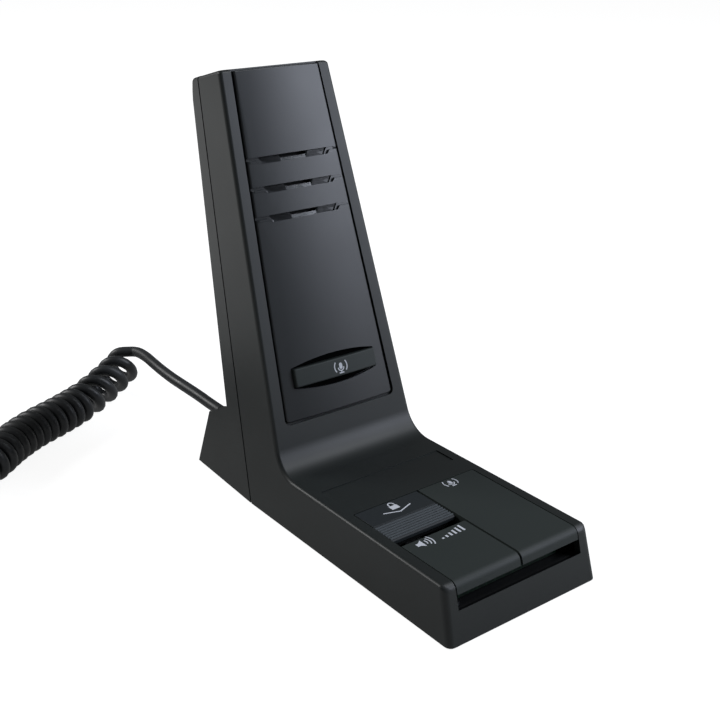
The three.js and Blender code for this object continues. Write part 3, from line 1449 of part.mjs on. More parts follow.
// One mesh for each copy, numbered from one
const copies = (name, places, make, material) =>
  places.map((place, at) => piece(`${name}_${at + 1}`, make(place), material));

const caseGroup = new THREE.Group();
caseGroup.name = 'case_and_keys';
caseGroup.add(
  piece('front_housing', frontHousing(), casePlastic),
  piece('rear_cover', rearCover(), casePlastic),
  piece('bottom_plate', bottomPlate(), innerPlastic),
  ...copies('rubber_foot', rubberFeetPlaces, rubberFoot, blackRubber),
  ...copies('base_screw', baseScrewPlaces, baseScrew, steel),
  piece('ballast_plate', ballastPlate(), steel),
  piece('key_frame', keyFrame(), innerPlastic),
  ...copies('frame_screw', frameScrewPlaces, frameScrew, steel),
  piece('key_board', keyBoard(), boardResin),
  piece('ptt_switch', pushSwitch(pttMiddleX, pttSwitchY), switchPlastic),
  piece('ptt_switch_stem', switchStem(pttMiddleX, pttSwitchY), stemPlastic),
  piece('monitor_switch', pushSwitch(monitorMiddleX, monitorSwitchY), switchPlastic),
  piece('monitor_switch_stem', switchStem(monitorMiddleX, monitorSwitchY), stemPlastic),
  piece('lock_switch', lockSwitch(), switchPlastic),
  piece('lock_switch_lever', lockLever(), stemPlastic),
  piece('board_connector', boardConnector(), connectorPlastic),
  piece('ptt_key', pttKey(), keyPlastic),
  piece('monitor_key', monitorKey(), keyPlastic),
  piece('ptt_hinge_pin', hingePin(pttMiddleX, pttPivotY), steel),
  piece('monitor_hinge_pin', hingePin(monitorMiddleX, monitorPivotY), steel),
  piece('ptt_spring', spring(pttMiddleX, pttSpringY), springSteel),
  piece('monitor_spring', spring(monitorMiddleX, monitorSpringY), springSteel),
  piece('lock_slider', lockSlider(), keyPlastic),
  piece('cord_strap', cordStrap(), innerPlastic),
  ...copies('strap_screw', strapScrewPlaces, strapScrew, steel),
  piece('signal_wires', signalWires(), blackRubber),
  piece('tower_wires', towerWires(), blackRubber),
  piece('strain_relief', strainRelief(), blackRubber),
  piece('inner_cord', innerCord(), cordRubber),
);

const towerGroup = new THREE.Group();
towerGroup.name = 'tower_front';
towerGroup.applyMatrix4(towerMatrix);
towerGroup.add(
  piece('front_panel', frontPanel(), panelPlastic),
  piece('tower_button', towerButton(), keyPlastic),
  piece('tower_board', towerBoard(), boardResin),
  ...copies('board_screw', towerPosts, towerScrew, steel),
  piece('tower_switch', towerSwitch(), switchPlastic),
  piece('tower_switch_stem', towerSwitchStem(), stemPlastic),
  piece('tower_connector', towerConnector(), connectorPlastic),
  piece('mic_boot', micBoot(), blackRubber),
  piece('mic_capsule', micCapsule(), aluminium),
  piece('dust_cloth', dustCloth(), blackCloth),
  ...copies('cover_screw', coverScrews, coverScrew, steel),
);

const plugGroup = new THREE.Group();
plugGroup.name = 'plug';
plugGroup.position.copy(plugOrigin);
plugGroup.rotation.z = -plugHeading;
plugGroup.add(
  piece('plug_boot', plugBoot(), blackRubber),
  piece('plug_body', plugBody(), clearPlastic),
  piece('plug_contacts', plugContacts(), gold),
  piece('plug_latch', plugLatch(), clearPlastic),
);

const cordGroup = new THREE.Group();
cordGroup.name = 'cord';
cordGroup.add(
  piece('cord_lead', cordLead(), cordRubber),
  piece('cord_coil', cordCoil(), cordRubber),
  piece('cord_tail', cordTail(), cordRubber),
  plugGroup,
);

const deskMicrophone = new THREE.Group();
deskMicrophone.name = 'desk_microphone';
deskMicrophone.add(caseGroup, towerGroup, cordGroup);
deskMicrophone.position.set(0, -reliefEndY / 2, rubberFootStand);
deskMicrophone.updateMatrixWorld(true);

export default deskMicrophone;
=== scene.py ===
# %% [markdown]
# A desk microphone stands on a shop counter: a low base with two keys and a sliding lock, a leaning tower
# with sound slots and a bar button, and a curly cord that ends in a modular plug. Its solids come from CAD
# as a fixed frame. This lesson gives them their real edges, finishes and prints, and makes the cord.

# %% Load the frame
import bisect
import json
import math

import bmesh
import bpy
from mathutils import Matrix, Vector


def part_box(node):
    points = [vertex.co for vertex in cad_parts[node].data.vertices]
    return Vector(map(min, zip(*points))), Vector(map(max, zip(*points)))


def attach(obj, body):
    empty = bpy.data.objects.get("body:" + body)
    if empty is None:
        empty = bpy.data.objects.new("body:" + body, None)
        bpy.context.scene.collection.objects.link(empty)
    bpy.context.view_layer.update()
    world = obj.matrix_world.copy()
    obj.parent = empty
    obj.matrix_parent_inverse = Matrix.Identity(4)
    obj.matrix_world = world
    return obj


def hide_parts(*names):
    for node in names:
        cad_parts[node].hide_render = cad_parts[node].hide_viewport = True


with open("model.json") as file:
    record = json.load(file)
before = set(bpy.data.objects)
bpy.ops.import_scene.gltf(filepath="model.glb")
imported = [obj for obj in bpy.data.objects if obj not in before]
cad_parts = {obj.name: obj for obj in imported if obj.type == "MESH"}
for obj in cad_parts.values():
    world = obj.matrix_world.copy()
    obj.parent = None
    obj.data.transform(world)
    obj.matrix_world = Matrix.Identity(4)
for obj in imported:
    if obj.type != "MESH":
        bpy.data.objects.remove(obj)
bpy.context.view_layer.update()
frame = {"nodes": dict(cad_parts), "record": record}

MM = 0.001
print("nodes in the frame:", len(frame["nodes"]))

# %% [markdown]
# The camera stands where the photograph was taken from: the straight edges of the tower and the base give
# the lens and the angles at which it looks down on the keys. All sizes of the case are written in
# millimetres from its front bottom edge, as its drawing has them, and one small function brings them into
# the frame.

# %% Places on the case and the camera
CASE_CORNER = Vector((0.0, -95.45, 0.8))


def on_case(x, y, z):
    return (Vector((x, y, z)) + CASE_CORNER) * MM


CAMERA_AZIMUTH = math.radians(-38.456)
CAMERA_ELEVATION = math.radians(22.8)
CAMERA_ROLL = math.radians(1.024)
CAMERA_PLACE = (-272.4, -242.1, 250.3)
LENS_MM = 58.3
SENSOR_MM = 36.0

backward = Vector((
    math.sin(CAMERA_AZIMUTH) * math.cos(CAMERA_ELEVATION),
    -math.cos(CAMERA_AZIMUTH) * math.cos(CAMERA_ELEVATION),
    math.sin(CAMERA_ELEVATION),
))
rightward = Vector((0, 0, 1)).cross(backward).normalized()
upward = backward.cross(rightward)
camera_x = rightward * math.cos(CAMERA_ROLL) + upward * math.sin(CAMERA_ROLL)
camera_y = upward * math.cos(CAMERA_ROLL) - rightward * math.sin(CAMERA_ROLL)
camera_data = bpy.data.cameras.new("counter_camera")
camera_data.lens = LENS_MM
camera_data.sensor_width = SENSOR_MM
camera_data.sensor_fit = "HORIZONTAL"
camera = bpy.data.objects.new("counter_camera", camera_data)
camera.matrix_world = (
    Matrix.Translation(on_case(*CAMERA_PLACE))
    @ Matrix((camera_x, camera_y, backward)).transposed().to_4x4()
)
bpy.context.scene.collection.objects.link(camera)
bpy.context.scene.camera = camera
print("camera stands at", [round(value, 3) for value in camera.location])

# %% [markdown]
# Every finish is made of shader nodes. One helper adds a node with its settings and links, and another
# turns the hex colours of a paint chart, which are sRGB, into the linear values that Blender mixes. The
# finishes share four steps: a cloud of noise whose spots have a size in real millimetres, a ramp from one
# range of values to another, a blend of two colours, and a fine relief.

# %% Helpers for materials
def colour(chart):
    channels = [int(chart[at:at + 2], 16) / 255 for at in (0, 2, 4)]
    mixed = [c / 12.92 if c <= 0.04045 else ((c + 0.055) / 1.055) ** 2.4 for c in channels]
    return (*mixed, 1.0)


def add_node(tree, kind, settings=None, links=None):
    """Adds a node; a setting is a property or the value of a socket, a link is what feeds a socket."""
    node = tree.nodes.new(kind)
    for name, value in (settings or {}).items():
        if isinstance(name, str) and hasattr(node, name):
            setattr(node, name, value)
        else:
            node.inputs[name].default_value = value
    for name, source in (links or {}).items():
        tree.links.new(source, node.inputs[name])
    return node


def noise(tree, place, spot_mm, detail, roughness=0.5):
    return add_node(tree, "ShaderNodeTexNoise",
                    {"Scale": 1 / (spot_mm * MM), "Detail": detail, "Roughness": roughness},
                    {"Vector": place}).outputs["Fac"]


def ramp(tree, value, from_low, from_high, to_low, to_high):
    return add_node(tree, "ShaderNodeMapRange",
                    {"From Min": from_low, "From Max": from_high, "To Min": to_low, "To Max": to_high},
                    {"Value": value}).outputs["Result"]


def blend(tree, amount, shade, other):
    """Mixes two colours of the paint chart; an amount of 1 gives the second."""
    return add_node(tree, "ShaderNodeMix", {"data_type": "RGBA", 6: colour(shade), 7: colour(other)},
                    {0: amount}).outputs[2]


def relief(tree, height, depth_mm, strength):
    return add_node(tree, "ShaderNodeBump", {"Strength": strength, "Distance": depth_mm * MM},
                    {"Height": height}).outputs["Normal"]


def start_material(name):
    material = bpy.data.materials.new(name)
    material.use_nodes = True
    material.node_tree.nodes.clear()
    place = add_node(material.node_tree, "ShaderNodeTexCoord").outputs["Object"]
    return material, material.node_tree, place


def finish_material(tree, settings, links):
    surface = add_node(tree, "ShaderNodeBsdfPrincipled", settings, links)
    add_node(tree, "ShaderNodeOutputMaterial", links={"Surface": surface.outputs[0]})


# %% [markdown]
# The case is ABS, injection moulded in a steel tool whose face was spark eroded. That leaves a fine even
# grain, which breaks every reflection into a soft satin sheen, and hands polish it on edges and key tops.
# The real grain is about 0.1 mm, too fine for this picture, so it is drawn several times coarser. A slow
# cloud of tone and gloss keeps large faces from looking printed, and a bevel look-up finds the worn edges.

# %% Moulded plastics
ABS_IOR = 1.53
TONE_CLOUD_MM = 38
TONE_SHARE = 0.22
WEAR_SHINE = 0.14
NOISE_LOW, NOISE_HIGH = 0.3, 0.7
# Cosines of the angle between a face and the rounded edge near it: still flat, and fully worn
BEND_FLAT, BEND_WORN = 0.995, 0.86


def moulded(name, shade, worn, grain_mm, roughness, grain_height_mm=0.02, specular=0.35,
            edge_mm=0.35, edge_wear=0.55):
    material, tree, place = start_material(name)
    grain = noise(tree, place, grain_mm, 2.0, 0.6)
    cloud = noise(tree, place, TONE_CLOUD_MM, 3.0)
    rounded = add_node(tree, "ShaderNodeBevel", {"samples": 4, "Radius": edge_mm * MM})
    flat = add_node(tree, "ShaderNodeNewGeometry")
    bend = add_node(tree, "ShaderNodeVectorMath", {"operation": "DOT_PRODUCT"},
                    {0: rounded.outputs["Normal"], 1: flat.outputs["Normal"]})
    wear = ramp(tree, bend.outputs["Value"], BEND_FLAT, BEND_WORN, 0.0, edge_wear)
    tone = ramp(tree, cloud, NOISE_LOW, NOISE_HIGH, 0.0, TONE_SHARE)
    amount = add_node(tree, "ShaderNodeMath", {"operation": "ADD", "use_clamp": True},
                      {0: wear, 1: tone}).outputs[0]
    finish_material(tree, {"IOR": ABS_IOR, "Specular IOR Level": specular},
                    {"Base Color": blend(tree, amount, shade, worn),
                     "Roughness": ramp(tree, amount, 0.0, 0.8, roughness, roughness - WEAR_SHINE),
                     "Normal": relief(tree, grain, grain_height_mm, 0.5)})
    return material


case_abs = moulded("spark_eroded_abs_case", "161b1b", "262c2c", 0.55, 0.48, specular=0.4)
panel_abs = moulded("satin_abs_panel", "191d20", "282d31", 0.5, 0.4, 0.012, 0.4)
KEY_ROUGHNESS, KEY_SPECULAR = 0.56, 0.26
key_abs = moulded("worn_satin_abs_keys", "2a302f", "353a39", 0.5, KEY_ROUGHNESS, 0.014, KEY_SPECULAR,
                  edge_mm=0.15, edge_wear=0.3)

GRIP_FRONT, GRIP_REAR, RIB_COUNT = 41.7, 52.05, 7
RIB_START, RIB_PITCH = on_case(0, GRIP_FRONT, 0).y, (GRIP_REAR - GRIP_FRONT) / RIB_COUNT * MM
CREST_END, CREST_FULL = 0.62, 0.42


def ribs_with_crest_wear_and_highlight(name, shade, crest_wear_and_highlight_shade):
    """The slider's plastic: the crests of its ribs are coloured pale, partly rub wear from the finger that
    pushes it and partly a painted highlight of the light the crests catch.
    """
    material, tree, place = start_material(name)
    parts = add_node(tree, "ShaderNodeSeparateXYZ", links={0: place})
    rib = add_node(tree, "ShaderNodeMapRange",
                   {"clamp": False, "From Min": RIB_START, "From Max": RIB_START + RIB_PITCH},
                   {"Value": parts.outputs["Y"]}).outputs[0]
    phase = add_node(tree, "ShaderNodeMath", {"operation": "FRACT"}, {0: rib}).outputs[0]
    on_crest = ramp(tree, phase, CREST_END, CREST_FULL, 0.0, 1.0)
    in_grip = add_node(tree, "ShaderNodeMath", {"operation": "COMPARE", 1: RIB_COUNT / 2, 2: RIB_COUNT / 2},
                       {0: rib}).outputs[0]
    # The pale crest colour is partly rub wear and partly a painted highlight on each rib crest.
    crest_wear_and_highlight = add_node(tree, "ShaderNodeMath", {"operation": "MULTIPLY"}, {0: on_crest, 1: in_grip})
    finish_material(tree, {"IOR": ABS_IOR, "Specular IOR Level": KEY_SPECULAR, "Roughness": KEY_ROUGHNESS},
                    {"Base Color": blend(tree, crest_wear_and_highlight.outputs[0], shade, crest_wear_and_highlight_shade)})
    return material


# Crest colour 454b4f: rub wear plus a painted highlight on the rib crests.
slider_abs = ribs_with_crest_wear_and_highlight("ribbed_abs_slider_crest_wear_and_highlight", "22272a", "454b4f")
inner_abs = moulded("moulded_black_abs_inside", "0e0f10", "17191a", 0.8, 0.6, specular=0.2)
ink_grey = moulded("pad_printed_ink_grey", "c8ccd4", "dadde3", 0.4, 0.5, 0.004, 0.3)
print("plastics:", case_abs.name, panel_abs.name, key_abs.name)

# %% [markdown]
# The curly cord has a jacket of polyurethane: elastic, satin, slightly uneven where it was wound hot on a
# mandrel. Rubber feet, boots and the strain relief are matt, and dust sits in their grain.

# %% Jacket and rubber
JACKET_WAVES_MM = 11


def rubbery(name, shade, dusty, grain_mm, roughness, coat):
    material, tree, place = start_material(name)
    grain = noise(tree, place, grain_mm, 3.0, 0.65)
    waves = noise(tree, place, JACKET_WAVES_MM, 2.0)
    gloss = ramp(tree, waves, NOISE_LOW, NOISE_HIGH, roughness - 0.07, roughness + 0.07)
    finish_material(tree, {"IOR": 1.5, "Specular IOR Level": 0.4,
                           "Coat Weight": coat, "Coat Roughness": 0.35},
                    {"Base Color": blend(tree, waves, shade, dusty), "Roughness": gloss,
                     "Normal": relief(tree, grain, 0.03, 0.4)})
    return material


cord_jacket = rubbery("polyurethane_jacket", "1a1c1e", "2a2d2f", 0.7, 0.46, 0.08)
black_rubber = rubbery("moulded_black_rubber", "141516", "222324", 0.6, 0.72, 0.0)

# %% [markdown]
# Metals keep the default IOR: their colour is their reflection. Screws are steel plated with zinc, rolled
# and a little cloudy, springs are drawn bright wire, and the capsule's can is pressed aluminium.

# %% Metals
def metal(name, shade, dull, grain_mm, roughness, stretch=(1, 1, 1)):
    material, tree, place = start_material(name)
    drawn = add_node(tree, "ShaderNodeMapping", {"Scale": stretch}, {"Vector": place})
    grain = noise(tree, drawn.outputs[0], grain_mm, 4.0, 0.6)
    gloss = ramp(tree, grain, NOISE_LOW, NOISE_HIGH, roughness - 0.06, roughness + 0.08)
    finish_material(tree, {"Metallic": 1.0},
                    {"Base Color": blend(tree, grain, shade, dull), "Roughness": gloss,
                     "Normal": relief(tree, grain, 0.01, 0.3)})
    return material


zinc_steel = metal("zinc_plated_steel", "a9adb0", "8d9296", 1.4, 0.36)
spring_wire = metal("bright_drawn_wire", "c3c7ca", "a5abb0", 0.5, 0.26, (1, 1, 4))
pressed_can = metal("pressed_aluminium_can", "c9ccce", "b1b5b8", 0.9, 0.3)
gold_plate = metal("gold_plated_bronze", "d9b35c", "c79b45", 0.6, 0.24)

# %% [markdown]
# Inside are circuit boards of glass resin under green solder resist, nylon stems and connectors, glossy
# switch bodies, the black cloth that keeps dust from the capsule, and outside the clear polycarbonate plug.

# %% Boards, nylon, cloth and clear plastic
TRACK_MM, THREAD_MM, FLOW_MM = 9, 4.2, 6


def board_resist(name):
    material, tree, place = start_material(name)
    tracks = add_node(tree, "ShaderNodeTexBrick",
                      {"Scale": 1 / (TRACK_MM * MM), "Mortar Size": 0.035, "Mortar Smooth": 0.1, "Bias": 0.0,
                       "Color1": colour("0a1c12"), "Color2": colour("0c2216"), "Mortar": colour("13301f")},
                      {"Vector": place})
    finish_material(tree, {"Roughness": 0.34, "IOR": 1.55},
                    {"Base Color": tracks.outputs["Color"],
                     "Normal": relief(tree, tracks.outputs["Fac"], 0.03, 0.3)})
    return material


def woven_cloth(name):
    material, tree, place = start_material(name)
    threads = [
        add_node(tree, "ShaderNodeTexWave",
                 {"wave_type": "BANDS", "bands_direction": way, "Scale": 1 / (THREAD_MM * MM),
                  "Distortion": 0.4}, {"Vector": place}).outputs["Fac"] for way in ("X", "Z")
    ]
    weave = add_node(tree, "ShaderNodeMath", {"operation": "MULTIPLY"},
                     {0: threads[0], 1: threads[1]}).outputs[0]
    finish_material(tree, {"Roughness": 0.95, "Sheen Weight": 0.2},
                    {"Base Color": blend(tree, weave, "0c0c0d", "1b1c1d"),
                     "Normal": relief(tree, weave, 0.08, 0.6)})
    return material


def clear_polycarbonate(name):
    material, tree, place = start_material(name)
    flow = noise(tree, place, FLOW_MM, 2.0)
    finish_material(tree, {"Base Color": colour("dfe6ea"), "Transmission Weight": 0.9, "IOR": 1.58},
                    {"Roughness": ramp(tree, flow, NOISE_LOW, NOISE_HIGH, 0.05, 0.16),
                     "Normal": relief(tree, flow, 0.05, 0.2)})
    return material


green_board = board_resist("green_solder_resist")
dust_weave = woven_cloth("woven_acoustic_cloth")
clear_plug = clear_polycarbonate("clear_polycarbonate_plug")
switch_black = moulded("polished_black_pbt_switch", "101112", "1d1e20", 0.6, 0.3, 0.004, 0.5)
nylon_stem = moulded("ivory_nylon_stem", "d9d6cc", "e6e3da", 0.7, 0.4, 0.006, 0.45)
nylon_white = moulded("natural_nylon_connector", "e2dece", "efece0", 0.7, 0.45, 0.006, 0.45)
# Darker than the panel and dimmer in gloss: painted shade for the slot recesses.
slot_floor_painted_shade = moulded("satin_abs_slot_floor_painted_shade", "14171a", "1d2124", 0.7, 0.42, 0.004, 0.22)
# Polished, with a base colour paler than the panel's: a painted highlight of the scoop's reflected streak.
slot_scoop_polish_and_painted_highlight = moulded("polished_abs_slot_scoop_painted_highlight", "2c3134", "40464a", 0.9, 0.38, 0.003, 0.9)
# A matt black sheet that paints the shade in the bar button's recess.
bar_painted_shade_sheet = moulded("matt_black_painted_shade_sheet", "060707", "0b0c0c", 0.3, 0.95, 0.05, 0.02)

SLOT_MATERIALS = {
    "case_plastic": case_abs, "panel_plastic": panel_abs, "key_plastic": key_abs,
    "inner_plastic": inner_abs, "board_resin": green_board, "switch_plastic": switch_black,
    "stem_plastic": nylon_stem, "black_rubber": black_rubber, "cord_jacket": cord_jacket,
    "steel": zinc_steel, "spring_steel": spring_wire, "aluminium": pressed_can, "cloth": dust_weave,
    "clear_plastic": clear_plug, "gold": gold_plate, "connector_plastic": nylon_white,
}
node_slots = {part["node"]: part["material_slot"] for part in frame["record"]["subparts"]}
for node, slot in node_slots.items():
    mesh = frame["nodes"][node].data
    mesh.materials.clear()
    mesh.materials.append(SLOT_MATERIALS[slot])
print("nodes with a finish:", len(node_slots))

# %% [markdown]
# The cord leaves the foot through its strain relief, rises a little, and winds into a long coil that lies
# on the counter and bends round behind the case, where its tail ends in the plug. A curly cord is a helix
# about a line that is itself bent, so the line is drawn first through a few points, then the curls go
# round it. The first curls are pulled open and lean, the rest lie close.

# %% The cord's line
CORD_DIAMETER = 5.4
CURL_RADIUS = 6.8
EXIT = (-12, 191.2, 12)
COIL_HEIGHT = 8.75
COIL_LINE = [
    (-17, 278), (-31.2, 265.6), (-45, 254.6), (-59, 245.2), (-74, 237.8), (-90, 231), (-104, 222.4),
    (-118, 211.6), (-132.2, 205), (-147.7, 203.7), (-162.8, 207.7), (-175.6, 216.7), (-184.6, 229.5),
    (-188.6, 244.6), (-187.3, 260.1),
]
LEAD_LINE = [
    EXIT, (-12, 195.3, 12), (-12.3, 201, 12.4), (-13, 210, 13.4), (-13.9, 220, 14.3), (-14.6, 232, 15),
    (-14.6, 243, 15.6), (-14, 253, 16), (-13.2, 262, 16.1), (-13.4, 270, 16),
]
TAIL_LINE = [
    (-199, 266, 1.95), (-203.6, 273.5, 1.95), (-204.1, 282, 1.95), (-201, 290.4, 1.95), (-194, 297, 1.95),
    (-185.6, 301.4, 1.95), (-178, 305.4, 2.1), (-172.6, 310, 2.35),
]
PLUG_PLACE = Vector((-166, 318, 2.6))
PLUG_HEADING = math.radians(30)
LOOSE_PITCH, TIGHT_PITCH, BEND_PITCH = 12.2, 5.6, 6.4
LOOSE_END, LOOSE_FADE, BEND_START, BEND_FADE = 52, 10, 122, 14
LOOSE_LEAN = 0.35
STEPS_PER_CURL = 24
STEPS_PER_PIECE = 40
AXIS_SPACING, LEAD_SPACING = 0.25, 1.6


def smooth_line(points, spacing):
    """A smooth line through the points, as evenly spaced points."""
    points = [Vector(point) for point in points]
    padded = [2 * points[0] - points[1], *points, 2 * points[-1] - points[-2]]
    fine = []
    for a, b, c, d in zip(padded, padded[1:], padded[2:], padded[3:]):
        before, here, after = (math.sqrt((end - start).length) for start, end in ((a, b), (b, c), (c, d)))
        leave = ((b - a) / before - (c - a) / (before + here) + (c - b) / here) * here
        arrive = ((c - b) / here - (d - b) / (here + after) + (d - c) / after) * here
        for step in range(STEPS_PER_PIECE):
            t = step / STEPS_PER_PIECE
            fine.append(b + leave * t + (3 * (c - b) - 2 * leave - arrive) * t ** 2
                        + (2 * (b - c) + leave + arrive) * t ** 3)
    fine.append(points[-1])
    runs = [0.0]
    for start, end in zip(fine, fine[1:]):
        runs.append(runs[-1] + (end - start).length)
    count = max(2, round(runs[-1] / spacing))
    even = []
    for step in range(count + 1):
        wanted = runs[-1] * step / count
        after = min(max(bisect.bisect_left(runs, wanted), 1), len(runs) - 1)
        share = (wanted - runs[after - 1]) / (runs[after] - runs[after - 1])
        even.append(fine[after - 1].lerp(fine[after], share))
    return even


def fade(value, middle, half_width):
    """0 below the fade, 1 above it, smooth between."""
    share = min(max((value - middle + half_width) / (2 * half_width), 0), 1)
    return share * share * (3 - 2 * share)


def coil_way():
    """The centre of the jacket round the coil's line, and the way it comes in and goes out."""
    axis = smooth_line([(x, y, COIL_HEIGHT) for x, y in COIL_LINE], AXIS_SPACING)
    step_length = (axis[1] - axis[0]).length
    turns_to = [0.0]
    for step in range(len(axis) - 1):
        run = (step + 0.5) * step_length
        loose = 1 - fade(run, LOOSE_END, LOOSE_FADE)
        bend = fade(run, BEND_START, BEND_FADE)
        pitch = TIGHT_PITCH + (LOOSE_PITCH - TIGHT_PITCH) * loose + (BEND_PITCH - TIGHT_PITCH) * bend
        turns_to.append(turns_to[-1] + step_length / pitch)
    curls = math.floor(turns_to[-1]) - 0.5
    way = []
    for step in range(round(curls * STEPS_PER_CURL) + 1):
        turns = step / STEPS_PER_CURL
        wanted = turns / curls * turns_to[-1]
        after = min(max(bisect.bisect_left(turns_to, wanted), 1), len(turns_to) - 1)
        share = (wanted - turns_to[after - 1]) / (turns_to[after] - turns_to[after - 1])
        centre = axis[after - 1].lerp(axis[after], share)
        onward = (axis[min(after + 1, len(axis) - 1)] - axis[max(after - 2, 0)]).normalized()
        sideways = Vector((onward.y, -onward.x, 0))
        lean = LOOSE_LEAN * (1 - fade((after - 1 + share) * step_length, LOOSE_END, LOOSE_FADE))
        angle = math.tau * turns
        out = (Vector((0, 0, 1)) + onward * lean) * math.cos(angle) + sideways * math.sin(angle)
        way.append(centre + out * CURL_RADIUS)
    return way, curls


def end_way(start, end, side, pitch):
    """The way in which the jacket runs where the coil begins or ends."""
    onward = (Vector(end) - Vector(start)).to_3d().normalized()
    sideways = Vector((onward.y, -onward.x, 0)) * side
    return (sideways * CURL_RADIUS + onward * pitch / math.tau).normalized()


coil, curl_count = coil_way()
comes_in = end_way(COIL_LINE[0], COIL_LINE[1], 1, LOOSE_PITCH)
goes_out = end_way(COIL_LINE[-2], COIL_LINE[-1], -1, BEND_PITCH)
plug_way = Vector((math.sin(PLUG_HEADING), math.cos(PLUG_HEADING), 0))
lead = smooth_line([*LEAD_LINE, coil[0] - comes_in * CORD_DIAMETER, coil[0]], LEAD_SPACING)
tail = smooth_line([coil[-1], coil[-1] + goes_out * CORD_DIAMETER, *TAIL_LINE,
                    PLUG_PLACE - plug_way * CORD_DIAMETER, PLUG_PLACE], LEAD_SPACING)
cord_line = [on_case(*point) for point in [*lead[:-1], *coil, *tail[1:]]]
cord_length = sum((end - start).length for start, end in zip(cord_line, cord_line[1:]))
print("curls:", curl_count, "cord length, m:", round(cord_length, 3))

# %% [markdown]
# A tree of Geometry Nodes sweeps a circle along that line. The line is a plain chain of edges, the tree
# makes it a curve, gives it a round section and closed ends, and its radius and sides are named inputs.
# Whatever modifiers or trees make, it is taken off again as a plain mesh, so that every piece stands alone.

# %% Sweep the jacket
def piece_from(name, mesh, material, body):
    """Makes a mesh a piece of the object: one finish, riding on one body."""
    mesh.name = name
    mesh.materials.clear()
    mesh.materials.append(material)
    piece = bpy.data.objects.new(name, mesh)
    bpy.context.scene.collection.objects.link(piece)
    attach(piece, body)
    return piece


def new_tree(name, inputs):
    """A Geometry Nodes group with named inputs, with its identifiers, its input and its output node."""
    tree = bpy.data.node_groups.new(name, "GeometryNodeTree")
    tree.interface.new_socket("Geometry", in_out="INPUT", socket_type="NodeSocketGeometry")
    tree.interface.new_socket("Geometry", in_out="OUTPUT", socket_type="NodeSocketGeometry")
    identifiers = {}
    for label, kind in inputs.items():
        item = tree.interface.new_socket(label, in_out="INPUT", socket_type=kind)
        identifiers[label] = item.identifier
    source = add_node(tree, "NodeGroupInput")
    return tree, identifiers, source, add_node(tree, "NodeGroupOutput")


def run_modifiers(mesh, add_modifiers):
    """Puts modifiers on a mesh and returns the plain mesh that they make."""
    carrier = bpy.data.objects.new("carrier", mesh)
    bpy.context.scene.collection.objects.link(carrier)
    add_modifiers(carrier)
    evaluated = carrier.evaluated_get(bpy.context.evaluated_depsgraph_get())
    baked = bpy.data.meshes.new_from_object(evaluated)
    carrier.modifiers.clear()
    bpy.data.objects.remove(carrier)
    return baked


def bake_tree(base_mesh, tree, identifiers, values):
    """Runs the tree on a mesh and returns the plain mesh that it makes."""
    def add_tree(carrier):
        modifier = carrier.modifiers.new("tree", "NODES")
        modifier.node_group = tree
        for label, value in values.items():
            modifier[identifiers[label]] = value

    return run_modifiers(base_mesh, add_tree)


def sweep_tree():
    tree, identifiers, source, target = new_tree("sweep_jacket", {
        "Radius": "NodeSocketFloat", "Sides": "NodeSocketInt", "Finish": "NodeSocketMaterial"})
    curve = add_node(tree, "GeometryNodeMeshToCurve", links={"Mesh": source.outputs["Geometry"]})
    circle = add_node(tree, "GeometryNodeCurvePrimitiveCircle",
                      links={"Radius": source.outputs["Radius"], "Resolution": source.outputs["Sides"]})
    tube = add_node(tree, "GeometryNodeCurveToMesh", {"Fill Caps": True},
                    {"Curve": curve.outputs[0], "Profile Curve": circle.outputs["Curve"]})
    real = add_node(tree, "GeometryNodeRealizeInstances", links={"Geometry": tube.outputs[0]})
    smooth = add_node(tree, "GeometryNodeSetShadeSmooth", links={"Geometry": real.outputs[0]})
    finish = add_node(tree, "GeometryNodeSetMaterial",
                      links={"Geometry": smooth.outputs[0], "Material": source.outputs["Finish"]})
    tree.links.new(finish.outputs[0], target.inputs[0])
    return tree, identifiers


JACKET_SIDES = 14
chain = bpy.data.meshes.new("cord_chain")
chain.from_pydata(cord_line, [(at, at + 1) for at in range(len(cord_line) - 1)], [])
jacket_tree, jacket_inputs = sweep_tree()
cord_mesh = bake_tree(chain, jacket_tree, jacket_inputs,
                      {"Radius": CORD_DIAMETER / 2 * MM, "Sides": JACKET_SIDES, "Finish": cord_jacket})
cord = piece_from("curly_cord", cord_mesh, cord_jacket, "case")
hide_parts("cord_lead", "cord_coil", "cord_tail")
print("cord faces:", len(cord_mesh.polygons))

# %% [markdown]
# The tower leans back, so its panel, slots and button are drawn on its own plane: x across, along the
# slope, and n out of it. The panel's face is a shallow crown, over half a millimetre higher in its middle
# than flat, which is why its sheen runs from dark at the left to light at the right. All on it follows.

# %% The tower's plane and its crown
TOWER_LEAN = math.radians(18.9)
TOWER_FOOT_Y, BASE_TOP = 106.8, 22.0
PANEL_HALF = 21.6
CROWN, CROWN_LEVEL = 1.1, 0.6
STRIP_EDGES = range(-20, 21, 4)
# What lies deeper than this keeps its place: inside the panel, inside the bar, or nothing at all
PANEL_CROWN_FROM, BAR_CROWN_FROM, ALL_CROWN_FROM = -1.6, 1.2, -3
SLOPE_SIN, SLOPE_COS = math.sin(TOWER_LEAN), math.cos(TOWER_LEAN)


def on_tower(x, along, n):
    return on_case(x, TOWER_FOOT_Y + along * SLOPE_SIN - n * SLOPE_COS,
                   BASE_TOP + along * SLOPE_COS + n * SLOPE_SIN)


def crown_at(x):
    return CROWN * (CROWN_LEVEL - (x / PANEL_HALF) ** 2)


def tower_place(point):
    """The tower's x, along and n of a point of the frame."""
    spot = point / MM - CASE_CORNER
    y, z = spot.y - TOWER_FOOT_Y, spot.z - BASE_TOP
    return spot.x, y * SLOPE_SIN + z * SLOPE_COS, z * SLOPE_SIN - y * SLOPE_COS


